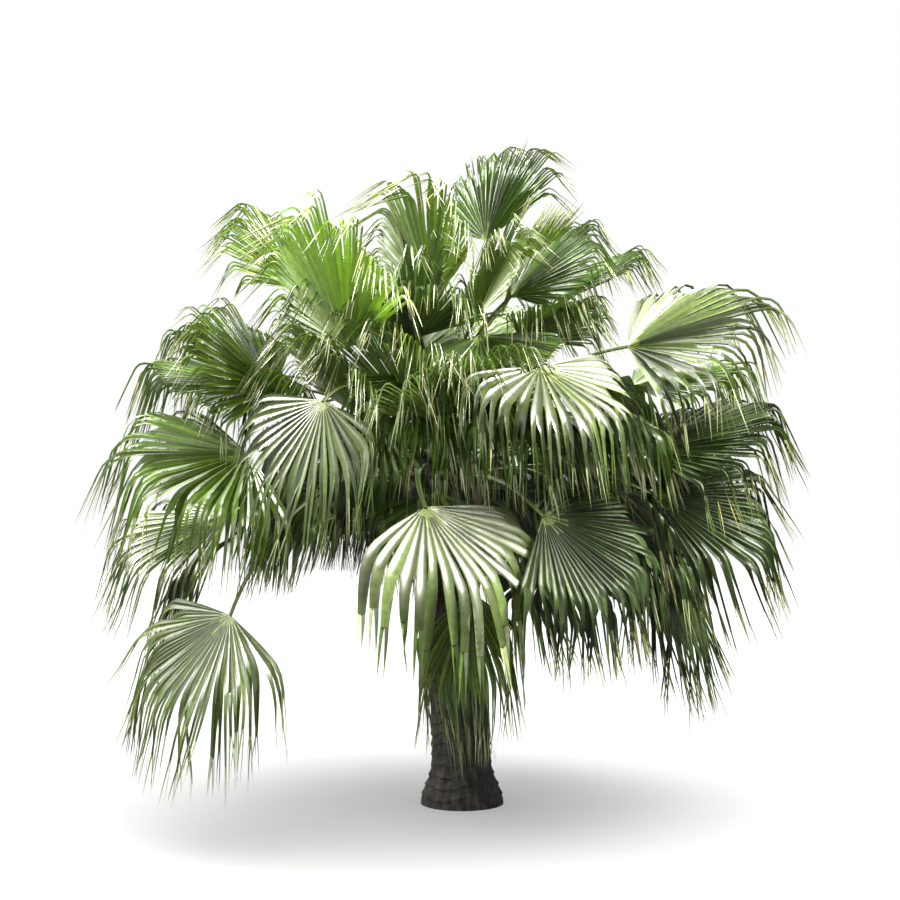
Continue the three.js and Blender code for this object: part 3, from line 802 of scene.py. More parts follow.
# %% Tools for finishes
class Finish:
    """A material in the making, with short ways to add its nodes."""

    def __init__(self, name):
        self.material = bpy.data.materials.new(name)
        self.material.use_nodes = True
        self.nodes = self.material.node_tree.nodes
        self.shader = self.nodes["Principled BSDF"]

    def fill(self, node, inputs):
        """Gives each input its value, or a link where the value is another node's output."""
        for name, value in inputs.items():
            if isinstance(value, bpy.types.NodeSocket):
                self.material.node_tree.links.new(value, node.inputs[name])
            else:
                node.inputs[name].default_value = value

    def add(self, kind, inputs, output, operation=None):
        """Adds a node and gives back one of its outputs."""
        node = self.nodes.new(f"ShaderNode{kind}")
        if operation:
            node.operation = operation
        self.fill(node, inputs)
        return node.outputs[output]

    def place(self):
        return self.add("TexCoord", {}, "Object")

    def ramp(self, value, stops):
        """A colour for each value, run through the (position, colour) stops. A new ramp has two already."""
        colour = self.add("ValToRGB", {"Fac": value}, "Color")
        elements = colour.node.color_ramp.elements
        for number, (position, tint) in enumerate(stops):
            stop = elements[number] if number < 2 else elements.new(position)
            stop.position = position
            stop.color = (*tint, 1)
        return colour

    def bump(self, height, strength, distance):
        return self.add("Bump", {"Height": height, "Strength": strength, "Distance": distance}, "Normal")


def shaded(green, shade):
    return tuple(c * shade for c in green)


# %% [markdown]
# ## The finish of a leaflet
# A palm leaf is waxy: green and glossy above, paler and duller beneath, and thin enough for strong light to
# glow through. One function makes all leaf finishes. A noise varies the green in small patches, and a finer
# one roughens the wax, so that the gloss isn't even. A translucent shader lets through the light from behind.

# %% Leaf finish
PATCHES = 31            # scale of the noise that varies the green
VARIETY = 0.25          # by which share it gets lighter and darker
PATCH_ENDS = (0.3, 0.7)  # of that noise, where the green is darkest and lightest
WAX = 90                # scale of the noise that varies the gloss
WAX_SPREAD = (-0.08, 0.1)


def leaf_finish(name, green, roughness, gloss, glow=None, through=0.0):
    """Green wax of a roughness and strength of gloss, through which a share of the light comes as a glow."""
    finish = Finish(name)
    place = finish.place()
    patches = finish.add("TexNoise", {"Scale": PATCHES, "Detail": 4, "Vector": place}, "Fac")
    colour = finish.ramp(patches, zip(PATCH_ENDS, (shaded(green, 1 - VARIETY), shaded(green, 1 + VARIETY))))
    wax = finish.add("TexNoise", {"Scale": WAX, "Detail": 3, "Vector": place}, "Fac")
    low, high = (roughness + spread for spread in WAX_SPREAD)
    uneven = finish.add("MapRange", {"To Min": low, "To Max": high, "Value": wax}, "Result")
    finish.fill(finish.shader, {"Base Color": colour, "Roughness": uneven, "Specular IOR Level": gloss})
    if glow:
        lit_through = finish.add("BsdfTranslucent", {"Color": (*glow, 1)}, "BSDF")
        leaf = finish.shader.outputs["BSDF"]
        both = finish.add("MixShader", {"Fac": through, 1: leaf, 2: lit_through}, "Shader")
        finish.fill(finish.nodes["Material Output"], {"Surface": both})
    return finish.material


# %% [markdown]
# ## The fans
# Fans are sorted by colour into joined pieces. Young ones stand in the middle of the crown and are bright
# yellow-green. The oldest hang lowest and are dark, dull and a little grey. On each piece the leaflets are
# dealt out to several greens from dark to light, so that no two neighbours need be alike. Partly these are
# the leaflets' own tones and partly painted light and shade: the bright and dark stripes of light through
# the folds. Each leaflet turns one step lighter somewhere on its way out, partly its own paling and partly a
# painted glow of the lit outer fan. The undersides have a duller finish, and close to the hub every leaflet
# runs out into yellow-green.

# %% Fan finishes
# base colour, colour of the light that comes through and its share, roughness, strength of the gloss
FAN_LOOKS = {
    "young": ((0.150, 0.260, 0.010), (0.44, 0.62, 0.09), 0.36, 0.32, 0.6),
    "fresh": ((0.080, 0.140, 0.010), (0.42, 0.54, 0.15), 0.28, 0.32, 0.6),
    "silver": ((0.065, 0.097, 0.021), (0.46, 0.56, 0.20), 0.12, 0.34, 0.44),
    "deep": ((0.048, 0.090, 0.010), (0.36, 0.49, 0.16), 0.24, 0.38, 0.45),
    "old": ((0.029, 0.050, 0.011), (0.32, 0.42, 0.16), 0.14, 0.46, 0.25),
}
# greens of the leaflets from dark to light: partly their own tones, partly painted light and shade, the
# bright and dark stripes of light through the folds
TONES_AND_PAINTED_LIGHT = (0.5, 0.7, 0.97, 1.35, 1.8)
DEALS = (0.22, 0.28, 0.28, 0.22)    # how often a leaflet starts with each shade but the last
SAME_GLOW = 0.2                     # share of the glow that is alike in all shades
HUB_GREEN = (0.22, 0.30, 0.05)
HUB_TINT = 0.7                      # how much of that colour the hub takes
UNDER_GREY = 0.35                   # how far an underside's green goes towards grey
UNDER_LIGHTER = (1.25, 0.006)       # how much lighter it gets: times and plus
UNDER_WAX, HUB_WAX = (0.45, 0.4), (0.35, 0.6)       # roughness and strength of the gloss


def paler(green):
    """The dull, pale shade of a leaf's underside."""
    grey = sum(green) / 3
    return tuple(mix(c, grey, UNDER_GREY) * UNDER_LIGHTER[0] + UNDER_LIGHTER[1] for c in green)


def fan_finish_set(colour, green, glow, through, roughness, gloss):
    """The finishes of a fan: its upper shades, its underside and its hub."""
    uppers = [leaf_finish(f"{colour}_leaf_{number + 1}", shaded(green, shade), roughness, gloss,
                          shaded(glow, SAME_GLOW + (1 - SAME_GLOW) * shade), through)
              for number, shade in enumerate(TONES_AND_PAINTED_LIGHT)]
    under = leaf_finish(f"{colour}_leaf_under", paler(green), *UNDER_WAX, glow, through)
    hub_green = mix(np.array(green), np.array(HUB_GREEN), HUB_TINT)
    return uppers + [under, leaf_finish(f"{colour}_hub", hub_green, *HUB_WAX)]


fan_finishes = {colour: fan_finish_set(colour, *look) for colour, look in FAN_LOOKS.items()}
print("finishes of the fans:", sum(len(finishes) for finishes in fan_finishes.values()))

# %% Fan pieces
UPPER_CORNERS = (0, 1)      # the faces from the left edge to the rib's top, and on to the right edge
UNDER_SLOT, HUB_SLOT = len(TONES_AND_PAINTED_LIGHT), len(TONES_AND_PAINTED_LIGHT) + 1
HUB_ENDS = (0.3, 0.5, 0.2)  # how often the hub's colour ends at the first, second and third station
LEAF_SHARP = 48             # degrees; a bend or a shallow rib stays smooth, margins and steep ribs sharp


def fan_part(number):
    """One fan, whose leaflets are dealt out to the shades."""
    chance = np.random.default_rng(SEEDS["shades"] + number)
    count = fronds[number].count
    shade = chance.choice(len(DEALS), count, p=DEALS)
    hub_end = chance.choice(len(HUB_ENDS), count, p=HUB_ENDS)
    paling_and_glow_from = chance.integers(*fronds[number].manner.paling_and_painted_glow, count)

    def fan_slot(leaflet, station, corner):
        if station < hub_end[leaflet]:
            return HUB_SLOT
        if corner not in UPPER_CORNERS:
            return UNDER_SLOT
        # one step lighter from its own station on: partly paling towards the tip, partly a painted glow of
        # the lit outer fan
        return int(shade[leaflet]) + int(station >= paling_and_glow_from[leaflet])

    left, rib, right, keel = sections[number]
    return repeat_strip(np.stack([left, rib, right, keel], axis=2), fan_slot)


def add_fans(name, colour, numbers, nodes):
    """Joins the fans of one colour among these fronds into a piece, if there are any."""
    chosen = [number for number in numbers if fronds[number].colour == colour]
    if chosen:
        part = join_parts([fan_part(number) for number in chosen])
        stands_for = nodes or [blade_nodes[number] for number in chosen]
        add_piece(name, part, fan_finishes[colour], stands_for, LEAF_SHARP)


blade_nodes = [frond.nodes()[-1] for frond in fronds[:SOLID_FRONDS]]
for colour in FAN_LOOKS:
    add_fans(f"fans_{colour}", colour, range(SOLID_FRONDS), None)
    add_fans(f"fans_inner_{colour}", colour, range(SOLID_FRONDS, len(fronds)), blade_nodes)

# %% [markdown]
# ## The hanging threads
# Past the bend each leaflet forks at its rib, and the two halves hang as thin threads. They give this palm
# its fringed look. Sun and age bleach them, so they are paler than the blade: some green, some yellow-green
# and some the colour of straw. They are dealt out by chance to three pieces, each of one colour.

# %% Threads
THREAD_STATIONS = 6
THREAD_THICK = 0.0012
THREAD_THINS = 0.7          # how much of that it loses at the tip
POINTED = 0.8               # how much of its breadth a thread loses, over its taper, at the tip
GAP_OPENS = 0.8             # under 1, so two threads draw apart soonest near the fork


def thread_strips(frond, plan, half):
    """The left (half 1) or right (half -1) thread of every leaflet, as (leaflet, station, corner, xyz)."""
    ends = plan.thread_ends[:, 0 if half > 0 else 1]
    along_thread = np.linspace(0, 1, THREAD_STATIONS)[None]
    free = plan.fork[:, None] + (1 - plan.fork[:, None]) * along_thread * ends[:, None]
    shares = SPLIT + free * (plan.reach[:, None] - SPLIT)
    middle = plan.leaflets.read(shares, plan.everyone)
    _, side, up = twisted_axes(plan, shares, free)
    fold = fold_of(frond, plan, free)
    breadth = half_width(frond, free) * (1 - POINTED * along_thread ** 2)
    rise = (breadth * np.sin(fold) / 2)[..., None]
    gap = (plan.thread_gap[:, None] / 2 * along_thread ** GAP_OPENS)[..., None]
    inner = middle + half * side * gap - up * rise
    outer = inner + half * side * (breadth * np.cos(fold))[..., None] + 2 * up * rise
    thick = (THREAD_THICK * (1 - THREAD_THINS * along_thread))[..., None]
    corners = [outer, inner, inner - up * thick]
    return np.stack(corners if half > 0 else corners[::-1], axis=2)


# %% [markdown]
# The chance that a thread is pale depends on the frond: threads of young and high fronds are bleached most,
# and those of the dark old fronds less. Their larger pale share is also painted light, since those threads
# stand in the light. The ends of broad straps mostly keep the leaflet's green.

# %% Thread pieces
THREAD_COLOURS = {
    "green": (0.07, 0.12, 0.014),
    "pale": (0.34, 0.385, 0.18),
    "straw": (0.29, 0.26, 0.11),
}
# the higher pale shares of young and high fronds are partly bleaching and partly painted light on the lit
# crown
THREAD_SHARES_AGE_AND_PAINTED_LIGHT = {                # of green, pale and straw
    "young": (0.25, 0.65, 0.1),
    "fresh": (0.35, 0.55, 0.1),
    "silver": (0.35, 0.6, 0.05),
    "deep": (0.45, 0.45, 0.1),
    "old": (0.5, 0.32, 0.18),
}
STRAP_SHARES = (0.8, 0.2, 0)
THREAD_WAX = (0.38, 0.7)         # roughness and strength of the gloss

thread_parts = {colour: [] for colour in THREAD_COLOURS}
for frond, plan in zip(fronds, plans):
    chance = np.random.default_rng(SEEDS["threads"] + frond.index)
    chances = STRAP_SHARES if frond.manner in (STRAPS, BROADEST) else THREAD_SHARES_AGE_AND_PAINTED_LIGHT[frond.colour]
    for half in (1, -1):
        strips = thread_strips(frond, plan, half)
        deal = chance.choice(len(THREAD_COLOURS), frond.count, p=chances)
        for number, colour in enumerate(THREAD_COLOURS):
            thread_parts[colour].append(repeat_strip(strips[deal == number]))

for colour, green in THREAD_COLOURS.items():
    finish = leaf_finish(f"{colour}_thread", green, *THREAD_WAX)
    add_piece(f"threads_{colour}", join_parts(thread_parts[colour]), [finish], blade_nodes)

# %% [markdown]
# ## The stalks
# A stalk is flat or hollow above and rounded below, and it tapers to the blade. It arches out of the heart
# and runs on a short way under the blade as a rib, the costa, which is what makes the fan fold and nod. The
# arch is a smooth curve between two ends. A handle at each end sets the direction that it has there, and a
# longer handle keeps that direction for longer.

# %% Sizes of the stalks
STALK_STEPS = 26
STALK_BASE = (0.062, 0.040)             # width and depth
STALK_TIP = (0.024, 0.020)
STEEPEST = 84                           # rise in degrees with which a stalk leaves the trunk, at most
LEAVE_REACH, ARRIVE_REACH = 0.4, 0.33   # length of the handles, as shares of the way to the blade
BASE_LOW, BASE_HIGH = -0.330, 0.060     # where the oldest and youngest stalks start, up from the heart
BASE_WIDE, BASE_NARROW = 0.090, 0.024   # and how far out from its middle
BASE_RISE = (-50, 78)                   # rise in degrees of the oldest and youngest
HUB_RADIUS = 0.032                      # of the round middle of a blade
COSTA_REACH = 0.3                       # share of the leaflets' length
COSTA_STEPS = 10
COSTA_END, COSTA_CURVE = 0.15, 0.8      # how thin it ends, and how evenly it thins
COSTA_SUNK = 0.9                        # share of its half depth that it lies under the blade
STALK_SIDES = 14
CHANNEL = 0.45                          # depth of the channel on top, as a share of the half depth
RIM, DIP = 0.9, 1.5                     # its rims, and its fall to the middle, as shares of that depth
TOP_LIFT = 0.15                         # of rims and channel, as a share of the half depth

# %% The line of a stalk
def stalk_line(frond):
    """Points, directions and sides of a stalk from inside the trunk to the hub."""
    youth = np.clip((frond.rise - BASE_RISE[0]) / (BASE_RISE[1] - BASE_RISE[0]), 0, 1)
    out = direction(frond.azimuth, 0)
    root = HEART + out * mix(BASE_WIDE, BASE_NARROW, youth) + UP * mix(BASE_LOW, BASE_HIGH, youth)
    tip = frond.hub + frond.along * HUB_RADIUS * math.cos(frond.spread)
    chord = np.linalg.norm(tip - root)
    leave = direction(frond.azimuth, min(frond.rise + frond.arch, STEEPEST))
    arrive = unit(direction(frond.azimuth, frond.rise - frond.arch) + frond.along)
    controls = [root, root + leave * chord * LEAVE_REACH, tip - arrive * chord * ARRIVE_REACH, tip]
    t = np.linspace(0, 1, STALK_STEPS)[:, None]
    weights = [(1 - t) ** 3, 3 * t * (1 - t) ** 2, 3 * t * t * (1 - t), t ** 3]
    points = sum(w * c for w, c in zip(weights, controls))
    tangent = unit(np.gradient(points, axis=0))
    side = mix(np.cross(UP, out), frond.side, t)
    side = unit(side - tangent * (side * tangent).sum(1, keepdims=True))
    return points, tangent, side


def costa_line(frond):
    """The rib that carries the stalk on under the blade's middle."""
    shares = np.linspace(0, COSTA_REACH, COSTA_STEPS)[None]
    only = np.zeros(1, dtype=int)
    line = Lines(frond, np.zeros(1), np.zeros(1), np.zeros(1), frond.plumb[None])
    _, side, up = line.axes(shares, only)
    growth = np.minimum(shares / SPLIT, 1)
    fold_drop = growth * (half_width(frond, 0) * math.sin(frond.manner.fold[0]) / 2 + frond.manner.pleat)
    return line.read(shares, only)[0] - up[0] * fold_drop[0][:, None], side[0], up[0]


# %% [markdown]
# The section is drawn once as a unit shape: a half round below, edges at the sides and a shallow channel on
# top. Each station scales it, so the width, the depth and the channel all taper together.

# %% Sections of a stalk
taper = np.sqrt(np.linspace(0, 1, STALK_STEPS))     # fastest near the trunk
STALK_WIDTHS, STALK_DEPTHS = [mix(*ends, taper) / 2 for ends in zip(STALK_BASE, STALK_TIP)]


def stalk_outline():
    """A ring of points, x to the side and y up: over the top from right to left, and back below."""
    below = np.linspace(0, -math.pi, STALK_SIDES // 2 + 1)
    above = np.linspace(-1, 1, STALK_SIDES // 2 + 1)[1:-1]
    ring = [(math.cos(a), math.sin(a)) for a in below]
    ring += [(x, CHANNEL * (RIM - DIP * (1 - x * x)) + TOP_LIFT) for x in above]
    return np.array(ring)[::-1]


def swept(points, side, up, width, depth):
    """The outline at each point of a line, scaled there to a half width and a half depth."""
    ring = stalk_outline()
    across = side[:, None] * (width[:, None] * ring[:, 0])[..., None]
    upward = up[:, None] * (depth[:, None] * ring[:, 1])[..., None]
    return points[:, None] + across + upward


def stalk_strip(frond):
    points, tangent, side = stalk_line(frond)
    return swept(points, side, np.cross(tangent, side), STALK_WIDTHS, STALK_DEPTHS)


def costa_strip(frond):
    points, side, up = costa_line(frond)
    thin = np.linspace(1, COSTA_END, COSTA_STEPS) ** COSTA_CURVE
    width, depth = STALK_TIP[0] / 2 * thin, STALK_TIP[1] / 2 * thin
    return swept(points - up * depth[:, None] * COSTA_SUNK, side, up, width, depth)


# %% [markdown]
# Young stalks of this palm carry short hooked thorns along both edges of their lower half. Each is a small
# closed pyramid on the edge, leaning back towards the trunk.

# %% Thorns
THORNS = 16                 # on each edge
FIRST_THORN = 4             # the stalk's station where they start
THORN_LENGTH = 0.011
THORN_SIZES = (0.6, 1)      # least and most share of it
THORN_SCATTER = 0.5         # of a station
THORN_SEAT = 0.93           # share of the half width where a thorn stands
THORN_FACES = [(0, 1, 2), (0, 3, 1), (1, 3, 2), (2, 3, 0)]


def thorn_part(frond):
    points, tangent, side = stalk_line(frond)
    chance = np.random.default_rng(SEEDS["thorns"] + frond.index)
    corners, faces = [], []
    for k in range(THORNS):
        station = FIRST_THORN + k * (STALK_STEPS // 2) / THORNS + THORN_SCATTER * chance.random()
        low = int(station)
        place, along = mix(points[low], points[low + 1], station - low), tangent[low]
        up = np.cross(along, side[low])
        for hand in (1, -1):
            edge = place + hand * side[low] * STALK_WIDTHS[low] * THORN_SEAT
            size = THORN_LENGTH * chance.uniform(*THORN_SIZES)
            start = len(corners)
            corners += [edge - along * size / 3 - up * size / 5, edge + along * size / 3 - up * size / 5]
            corners += [edge + up * size / 4, edge + hand * side[low] * size - along * size * 0.5]
            turned = THORN_FACES if hand > 0 else [face[::-1] for face in THORN_FACES]
            faces += [tuple(start + v for v in face) for face in turned]
    return np.array(corners), faces, [0] * len(faces)


# %% [markdown]
# Stalks are smooth and satin, yellow-green along most of their length and browner near the trunk. The colour
# follows the distance from the heart, which is the same for every frond, so one finish serves them all.

# %% Stalk finish
CHANGES_AT = (0.15, 0.6)    # metres from the heart between which the colour changes
STREAKS = 22                # scale of the noise that makes the change uneven
STREAKS_COUNT = 0.5         # how much it counts beside the distance
STALK_STOPS = (0.3, 0.8)    # of both together, where the near and the far colour stand
STALK_BUMPS = (0.15, 0.002)     # strength and height


def stalk_finish(name, far, near, roughness):
    """One colour far out along the stalk and another near the heart."""
    finish = Finish(name)
    place = finish.place()
    from_heart = finish.add("VectorMath", {0: place, 1: HEART}, "Value", "DISTANCE")
    streaks = finish.add("TexNoise", {"Scale": STREAKS, "Detail": 5, "Vector": place}, "Fac")
    start, end = CHANGES_AT
    reach = finish.add("MapRange", {"From Min": start, "From Max": end, "Value": from_heart}, "Result")
    uneven = finish.add("Math", {0: streaks, 1: STREAKS_COUNT, 2: reach}, "Value", "MULTIPLY_ADD")
    colour = finish.ramp(uneven, zip(STALK_STOPS, (near, far)))
    normal = finish.bump(streaks, *STALK_BUMPS)
    finish.fill(finish.shader, {"Base Color": colour, "Normal": normal})
    finish.fill(finish.shader, {"Roughness": roughness, "Specular IOR Level": 0.35})
    return finish.material


# %% Stalk pieces
stalk_nodes = [frond.nodes()[0] for frond in fronds[:SOLID_FRONDS]]
strips = np.stack([stalk_strip(frond) for frond in fronds])
green_stalk = stalk_finish("green_stalk", (0.075, 0.110, 0.022), (0.05, 0.045, 0.02), 0.48)
add_piece("stalks", repeat_strip(strips), [green_stalk], stalk_nodes)

strips = np.stack([costa_strip(frond) for frond in fronds])
yellow_costa = stalk_finish("yellow_costa", (0.24, 0.31, 0.05), (0.16, 0.2, 0.04), 0.35)
add_piece("costas", repeat_strip(strips), [yellow_costa], blade_nodes)

thorns = join_parts([thorn_part(frond) for frond in fronds])
dark_thorn = stalk_finish("dark_thorn", (0.16, 0.13, 0.05), (0.09, 0.06, 0.03), 0.5)
add_piece("thorns", thorns, [dark_thorn], stalk_nodes)

# %% [markdown]
# ## The trunk
# The trunk of this palm is grey-brown. Below, fallen fronds have left it ringed with narrow scars, and fine
# cracks run up it. It is a grid of points wrapped round the leaning axis, pushed in and out by the scars, the
# cracks and a few slow lumps, so the relief is in the mesh and not only in the shading.

# %% Sizes of the trunk
LEAN_CURVE = 1.5                                # over 1, so the trunk leans more as it climbs
FOOT_RADIUS, NECK_RADIUS = 0.165, 0.135         # above the ground, and below the leaf bases
BOOT_RADIUS = 0.205                             # where leaf bases and fibre wrap it
FLARE, FLARE_HEIGHT, FLARE_CURVE = 0.060, 0.260, 1.6
BOOT_START, BOOT_BLEND = 1.250, (0.150, 0.250)  # the swelling lies so far below and above its start
SHOULDER, SHOULDER_HEIGHT = 0.051, 0.350        # by how much the trunk narrows up to the heart
BUD_RADIUS, BUD_HEIGHT = (0.154, 0.030), 0.190  # of the growing point
TRUNK_COLUMNS = 132
TRUNK_ROWS = 260


def trunk_radius(height):
    bare = mix(FOOT_RADIUS, NECK_RADIUS, smooth(0, BOOT_START, height))
    flare = FLARE * (1 - smooth(0, FLARE_HEIGHT, height)) ** FLARE_CURVE
    swell = smooth(BOOT_START - BOOT_BLEND[0], BOOT_START + BOOT_BLEND[1], height)
    shoulder = SHOULDER * smooth(HEART[2] - SHOULDER_HEIGHT, HEART[2], height)
    body = bare + flare + (BOOT_RADIUS - NECK_RADIUS) * swell - shoulder
    bud = mix(*BUD_RADIUS, (height - HEART[2]) / BUD_HEIGHT)
    return np.where(height > HEART[2], bud, body)


def trunk_middle(height):
    share = np.minimum(height / HEART[2], 1) ** LEAN_CURVE
    return np.stack([HEART[0] * share, HEART[1] * share, height], axis=-1)


def round_trunk(turn, height, radius):
    """Points at these turns, heights and radii, and the directions in which they lie from the middle."""
    spoke = np.stack([np.cos(turn), np.sin(turn), np.zeros_like(turn)], axis=-1)
    return trunk_middle(height) + spoke * radius[..., None], spoke


# %% [markdown]
# The scars are a saw-tooth: each ring stands out sharply at its lower lip and fades upwards. A slow wave
# tilts them, so that no two are quite level. The cracks are thin grooves that wander as they climb.

# %% Relief of the trunk
SCAR_STEP = 0.055           # from ring to ring
SCAR_DEPTH = 0.009
SCAR_LIP = 3                # the higher, the narrower the lip that stands out
SCAR_MEAN = 0.25            # of the saw-tooth with such a lip; taken off, it leaves the trunk as thick
SCAR_UNEVEN = 0.4           # share by which a ring is deeper or shallower
CRACKS = 34                 # round the trunk
CRACK_DEPTH = 0.005
CRACK_WIDTH = 0.35          # the lower, the narrower
CRACK_CLIMB = 19            # how fast a crack opens and closes as it climbs
CRACK_STAGGER = (7, 3)      # how much, and how often round the trunk, that is put off
FADES_LOW, FADES_HIGH = 0.05, 0.1       # metres over which the relief fades, at the ground and at the heart

# waves: their height, how often they go round the trunk, and how fast they climb
TILT_WAVES = [(0.012, 2, 5), (0.007, 5, -9)]
WANDER_WAVES = [(0.5, 0, 11), (0.3, 1, 27)]
LUMP_WAVES = [(0.004, 3, 4), (0.003, 7, -6)]


def waves(table, turn, height):
    return sum(size * np.sin(times * turn + climb * height) for size, times, climb in table)


def trunk_relief(turn, height):
    """How far the surface stands in front of the trunk's radius."""
    ring = (height + waves(TILT_WAVES, turn, height)) / SCAR_STEP
    tooth = 1 - ring % 1
    scar = SCAR_DEPTH * (tooth ** SCAR_LIP - SCAR_MEAN) * (1 + SCAR_UNEVEN * vary(np.floor(ring), 3))
    groove = np.abs(np.sin(CRACKS / 2 * turn + waves(WANDER_WAVES, turn, height))) ** CRACK_WIDTH
    much, often = CRACK_STAGGER
    open_here = 0.5 + 0.5 * np.sin(CRACK_CLIMB * height + much * np.sin(often * turn))
    crack = CRACK_DEPTH * (groove - 1) * open_here
    relief = scar + crack + waves(LUMP_WAVES, turn, height)
    return relief * smooth(0, FADES_LOW, height) * (1 - smooth(HEART[2] - FADES_HIGH, HEART[2], height))


def trunk_part():
    height, turn = np.meshgrid(
        np.linspace(0, HEART[2] + BUD_HEIGHT, TRUNK_ROWS),
        np.linspace(0, 2 * math.pi, TRUNK_COLUMNS, endpoint=False), indexing="ij")
    points, _ = round_trunk(turn, height, trunk_radius(height) + trunk_relief(turn, height))
    return repeat_strip(points[None])


# %% [markdown]
# Bark is matt and mottled, dark in places and lighter and greyer where it is worn. One noise, stretched
# upwards, gives both the streaks of colour and the small bumps. Fibre and old leaf bases get the same finish
# with other colours and sizes.

# %% Bark finish
BARK_STOPS = (0.33, 0.5, 0.7)       # of the noise, where the dark, middle and light colours stand
BARK_BUMPS = 0.006


def bark_finish(name, colours, stretch, scale, strength):
    """Bark of three colours, whose streaks are long where stretch is small."""
    finish = Finish(name)
    place = finish.add("Mapping", {"Scale": (1, 1, stretch), "Vector": finish.place()}, "Vector")
    noise = {"Scale": scale, "Detail": 8, "Roughness": 0.65, "Vector": place}
    streaks = finish.add("TexNoise", noise, "Fac")
    colour = finish.ramp(streaks, zip(BARK_STOPS, colours))
    normal = finish.bump(streaks, strength, BARK_BUMPS)
    finish.fill(finish.shader, {"Base Color": colour, "Normal": normal, "Roughness": 0.9})
    return finish.material


# %% Trunk piece
BARK_SHARP = 50             # degrees; lips and cracks stay sharp
GREYS = ((0.015, 0.013, 0.011), (0.05, 0.045, 0.038), (0.12, 0.11, 0.095))

bark = bark_finish("grey_bark", GREYS, 0.35, 26, 0.6)
add_piece("trunk_bark", trunk_part(), [bark], ["trunk"], BARK_SHARP)

# %% [markdown]
# ## Old leaf bases
# Above the bare trunk the bases of old fronds stay on, cut or broken short. They stand in a spiral, each
# turned by the golden angle from the last, which is how a palm sets its leaves. Each is a short flat tongue
# that hugs the trunk and leans out at its end.

# %% Leaf base piece
BASES = 46
BASES_FROM = BOOT_START - 0.08
BASES_TO = HEART[2] - 0.12
BASE_STATIONS = 9
BASE_LENGTH = 0.20
BASE_LENGTHS = (0.7, 1.1)               # least and most share of it
BASE_SUNK = 0.012                       # how deep its line starts in the trunk
BASE_LEAN = 86                          # rise in degrees at its foot
BASE_END_LEAN = (50, 72)                # least and most rise at its end
BASE_BEND = 1.5                         # over 1, so it bends most near its end
BASE_WIDTH, BASE_DEPTH = (0.052, 0.026), (0.011, 0.015)     # halves, at the foot and at the end
BASE_TAPER = 0.7                        # under 1, so it gets narrow soonest near its foot
BASE_RAGGED = 0.05                      # share by which its width is uneven
OLD_BROWNS = ((0.02, 0.016, 0.012), (0.06, 0.05, 0.038), (0.13, 0.11, 0.08))


def base_strip(number):
    chance = np.random.default_rng(SEEDS["leaf bases"] + number)
    height = mix(BASES_FROM, BASES_TO - BASE_LENGTH, number / BASES)
    turn = math.radians(GOLDEN_ANGLE * number)
    length = BASE_LENGTH * chance.uniform(*BASE_LENGTHS)
    t = np.linspace(0, 1, BASE_STATIONS)
    out = np.array([math.cos(turn), math.sin(turn), 0])
    end_lean = math.radians(chance.uniform(*BASE_END_LEAN))
    lean = mix(math.radians(BASE_LEAN), end_lean, t ** BASE_BEND)
    steps = (np.cos(lean)[:, None] * out + np.sin(lean)[:, None] * UP) * length / (BASE_STATIONS - 1)
    start = trunk_middle(np.array(height)) + out * (trunk_radius(height) - BASE_SUNK)
    points = start + np.cumsum(steps, axis=0) - steps[0]
    side = np.tile(np.cross(UP, out), (BASE_STATIONS, 1))
    up = unit(np.cross(np.gradient(points, axis=0), side))
    width = mix(*BASE_WIDTH, t ** BASE_TAPER) * (1 + BASE_RAGGED * chance.normal(size=BASE_STATIONS))
    return swept(points, side, up, width, mix(*BASE_DEPTH, t))


strips = np.stack([base_strip(number) for number in range(BASES)])
leaf_base = bark_finish("old_leaf_base", OLD_BROWNS, 0.3, 40, 0.5)
add_piece("leaf_bases", repeat_strip(strips), [leaf_base], ["trunk"], BARK_SHARP)

# %% [markdown]
# ## Fibre
# Each leaf base leaves behind a net of brown fibre that wraps the trunk between the bases. Hundreds of thin
# three-sided strands lie over each other at two slants, as in a loose weave, with some ends hanging free.

# %% Fibre piece
STRANDS = 900
STRAND_STATIONS = 9
STRANDS_FROM = (BOOT_START - 0.12, HEART[2] - 0.12)     # heights between which they begin
STRAND_SLANTS = (0.1, 0.9)      # sideways for each metre down, to the left or to the right
STRAND_LENGTHS = (0.08, 0.26)
STRAND_THICK = 0.0013           # half of its breadth
STRAND_HIGH = 1.4               # how far its ridge stands out, in such halves
STRAND_THINS = 0.6              # share of its breadth that it loses at its end
STRAND_OUT = 0.004              # off the trunk's surface
STRAND_LOOSE = 0.02             # how far a loose end stands off, at most
STRAND_WAVE = 0.002
STRAND_WAVES = (9, 6)           # radians along a strand, and how far apart two strands may start
FIBRE_BROWNS = ((0.02, 0.014, 0.01), (0.06, 0.044, 0.03), (0.13, 0.1, 0.07))


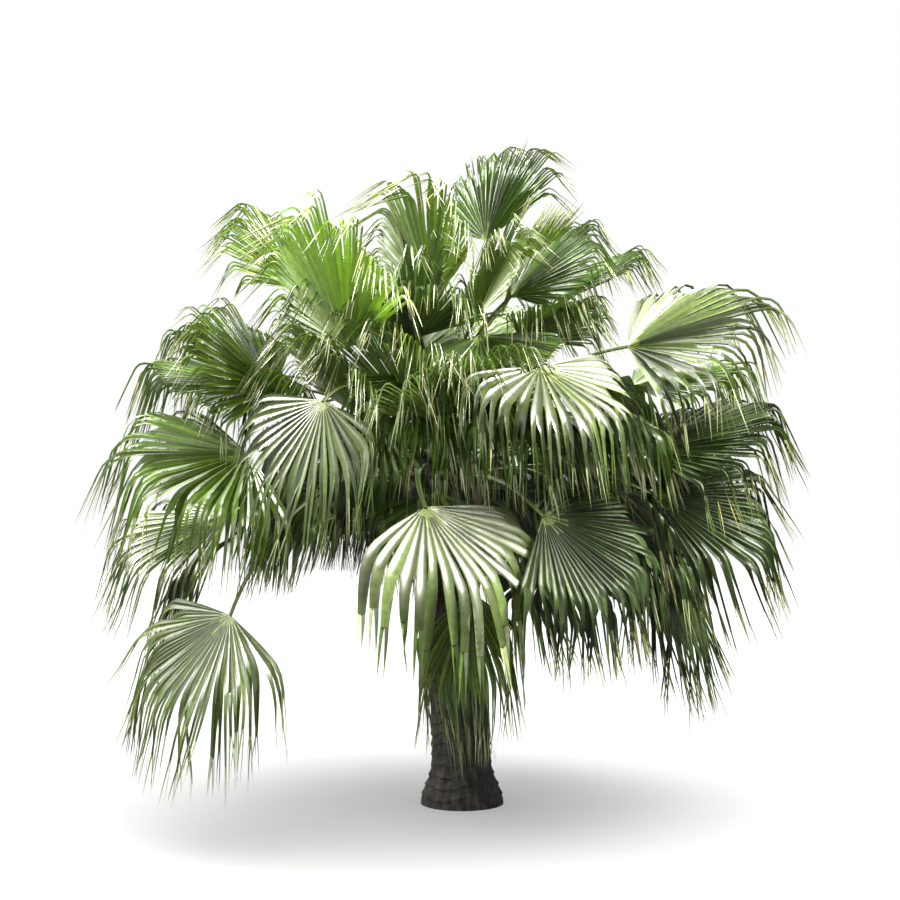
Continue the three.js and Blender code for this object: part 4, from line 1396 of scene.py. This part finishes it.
def fibre_strips():
    """All strands at once, as (strand, station, corner, xyz)."""
    chance = np.random.default_rng(SEEDS["fibre"])
    start = chance.uniform(*STRANDS_FROM, STRANDS)[:, None]
    turn = chance.uniform(0, 2 * math.pi, STRANDS)[:, None]
    slant = (chance.choice([-1, 1], STRANDS) * chance.uniform(*STRAND_SLANTS, STRANDS))[:, None]
    length = chance.uniform(*STRAND_LENGTHS, STRANDS)[:, None]
    t = np.linspace(0, 1, STRAND_STATIONS)[None]
    height = start - length * t
    loose = STRAND_LOOSE * (t ** 3) * chance.random(STRANDS)[:, None]
    along, apart = STRAND_WAVES
    wave = STRAND_WAVE * np.sin(along * t + apart * chance.random(STRANDS)[:, None])
    radius = trunk_radius(height) + STRAND_OUT + loose + wave
    points, spoke = round_trunk(turn + slant * length / BOOT_RADIUS * t, height, radius)
    side = unit(np.cross(unit(np.gradient(points, axis=1)), spoke))
    thick = (STRAND_THICK * (1 - STRAND_THINS * t))[..., None]
    corners = [points - side * thick, points + spoke * thick * STRAND_HIGH, points + side * thick]
    return np.stack(corners, axis=2)


fibre = bark_finish("brown_fibre", FIBRE_BROWNS, 0.5, 30, 0.3)
add_piece("fibre", repeat_strip(fibre_strips()), [fibre], ["trunk"])

# %% [markdown]
# ## Floor and light
# The palm stands on a plain pale floor under a white sky. The photograph's light is high and comes from
# beside and behind the palm: it shines through the standing fans and glances off the lying ones as white
# gloss. One large lamp high on the right does this as the sun does, but softly, and a second one on the left
# makes the gloss of that side. A wide panel behind takes the part of the bright sky, and a weak lamp in front
# opens up the shadows.

# %% Floor
FLOOR_SIZE = 60
FLOOR_SEEN = (0.93, 0.95)       # how pale the camera sees it, where its noise is low and high
FLOOR_THROWS_BACK = 0.25        # how pale it is to all rays but the camera's


def floor_finish():
    """A pale floor that throws back less light than it shows."""
    finish = Finish("pale_floor")
    noise = finish.add("TexNoise", {"Scale": 3}, "Fac")
    low, high = FLOOR_SEEN
    seen = finish.add("MapRange", {"To Min": low, "To Max": high, "Value": noise}, "Result")
    from_camera = finish.add("LightPath", {}, "Is Camera Ray")
    shade = {"To Min": FLOOR_THROWS_BACK, "To Max": seen, "Value": from_camera}
    colour = finish.add("MapRange", shade, "Result")
    finish.fill(finish.shader, {"Base Color": colour, "Roughness": 0.9})
    return finish.material


half = FLOOR_SIZE / 2
floor_mesh = bpy.data.meshes.new("floor")
corners = [(-half, -half, 0), (half, -half, 0), (half, half, 0), (-half, half, 0)]
floor_mesh.from_pydata(corners, [], [(0, 1, 2, 3)])
floor_mesh.materials.append(floor_finish())
floor = add_object("floor", floor_mesh)
floor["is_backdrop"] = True
print("floor:", FLOOR_SIZE, "m wide")

# %% Sky
SKY_SEEN = 1.0
SKY_LIGHT = 0.45            # how bright the sky is to all but the camera

world = bpy.data.worlds.new("white_sky")
bpy.context.scene.world = world
world.use_nodes = True
sky = world.node_tree.nodes["Background"]
sky.inputs["Color"].default_value = (1, 1, 1, 1)
ray = world.node_tree.nodes.new("ShaderNodeLightPath")
strength = world.node_tree.nodes.new("ShaderNodeMapRange")
strength.inputs["To Min"].default_value = SKY_LIGHT
strength.inputs["To Max"].default_value = SKY_SEEN
world.node_tree.links.new(ray.outputs["Is Camera Ray"], strength.inputs["Value"])
world.node_tree.links.new(strength.outputs["Result"], sky.inputs["Strength"])
print("sky: seen as", SKY_SEEN, "and gives", SKY_LIGHT)

# %% [markdown]
# A pale floor in full lamplight would throw so much light up that the crown lost its dark inside, and its
# shadow would be hard. By light linking, the four lamps of the palm leave the floor out. It has a wide soft
# lamp of its own, which gives the round shadow under the crown, and a second one that casts no shadow and
# keeps the first one's pale.

# %% Lamps
LAMP_AIM = np.array([0.0, 0.0, 1.9])
# name, azimuth and rise in degrees, distance, width and height, watts, colour
LAMPS = [
    ("sun_lamp", 350, 52, 10, (2.6, 2.6), 5200, (1, 0.96, 0.87)),
    ("left_lamp", 172, 42, 10, (3, 3), 3600, (1, 0.98, 0.93)),
    ("sky_panel", 95, 50, 9, (12, 6), 2000, (1, 1, 1)),
    ("front_lamp", 255, 30, 9, (5, 5), 400, (1, 1, 1)),
]
FLOOR_LIGHT_ANGLE = 90      # degrees across the sky; a wide one makes a soft shadow
# name, strength, whether it casts a shadow
FLOOR_LAMPS = [("floor_lamp", 1.6, True), ("floor_fill", 1.8, False)]


def link_floor(name, state):
    """A collection that makes a lamp light only the floor, or all but the floor."""
    group = bpy.data.collections.new(name)
    group.objects.link(floor)
    group.collection_objects[0].light_linking.link_state = state
    return group


ALL_BUT_FLOOR = link_floor("all_but_floor", "EXCLUDE")
FLOOR_ALONE = link_floor("floor_alone", "INCLUDE")


def add_lamp(name, azimuth, rise, distance, size, watts, colour):
    lamp = add_object(name, bpy.data.lights.new(name, "AREA"))
    lamp.data.shape = "RECTANGLE"
    lamp.data.size, lamp.data.size_y = size
    lamp.data.energy = watts
    lamp.data.color = colour
    lamp.location = LAMP_AIM + direction(azimuth, rise) * distance
    lamp.visible_camera = False
    aim = add_object(f"{name}_aim", None)
    aim.location = LAMP_AIM
    lamp.constraints.new("TRACK_TO").target = aim
    lamp.light_linking.receiver_collection = ALL_BUT_FLOOR


def add_floor_lamp(name, strength, casts_shadow):
    lamp = add_object(name, bpy.data.lights.new(name, "SUN"))
    lamp.data.energy = strength
    lamp.data.angle = math.radians(FLOOR_LIGHT_ANGLE)
    lamp.data.use_shadow = casts_shadow
    lamp.light_linking.receiver_collection = FLOOR_ALONE


for row in LAMPS:
    add_lamp(*row)
for row in FLOOR_LAMPS:
    add_floor_lamp(*row)
print("lamps:", len(LAMPS), "for the palm and", len(FLOOR_LAMPS), "for the floor")

# %% [markdown]
# ## Colours as seen
# The photograph is a plain, contrasty one, in which gloss burns out to white. Blender's standard view shows
# the colours in that way.

# %% View and sizes
bpy.context.scene.view_settings.view_transform = "Standard"

seen_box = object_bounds()
for name, box in (("solids", solid_box), ("seen", seen_box)):
    print(name, [[round(v, 3) for v in corner] for corner in box])
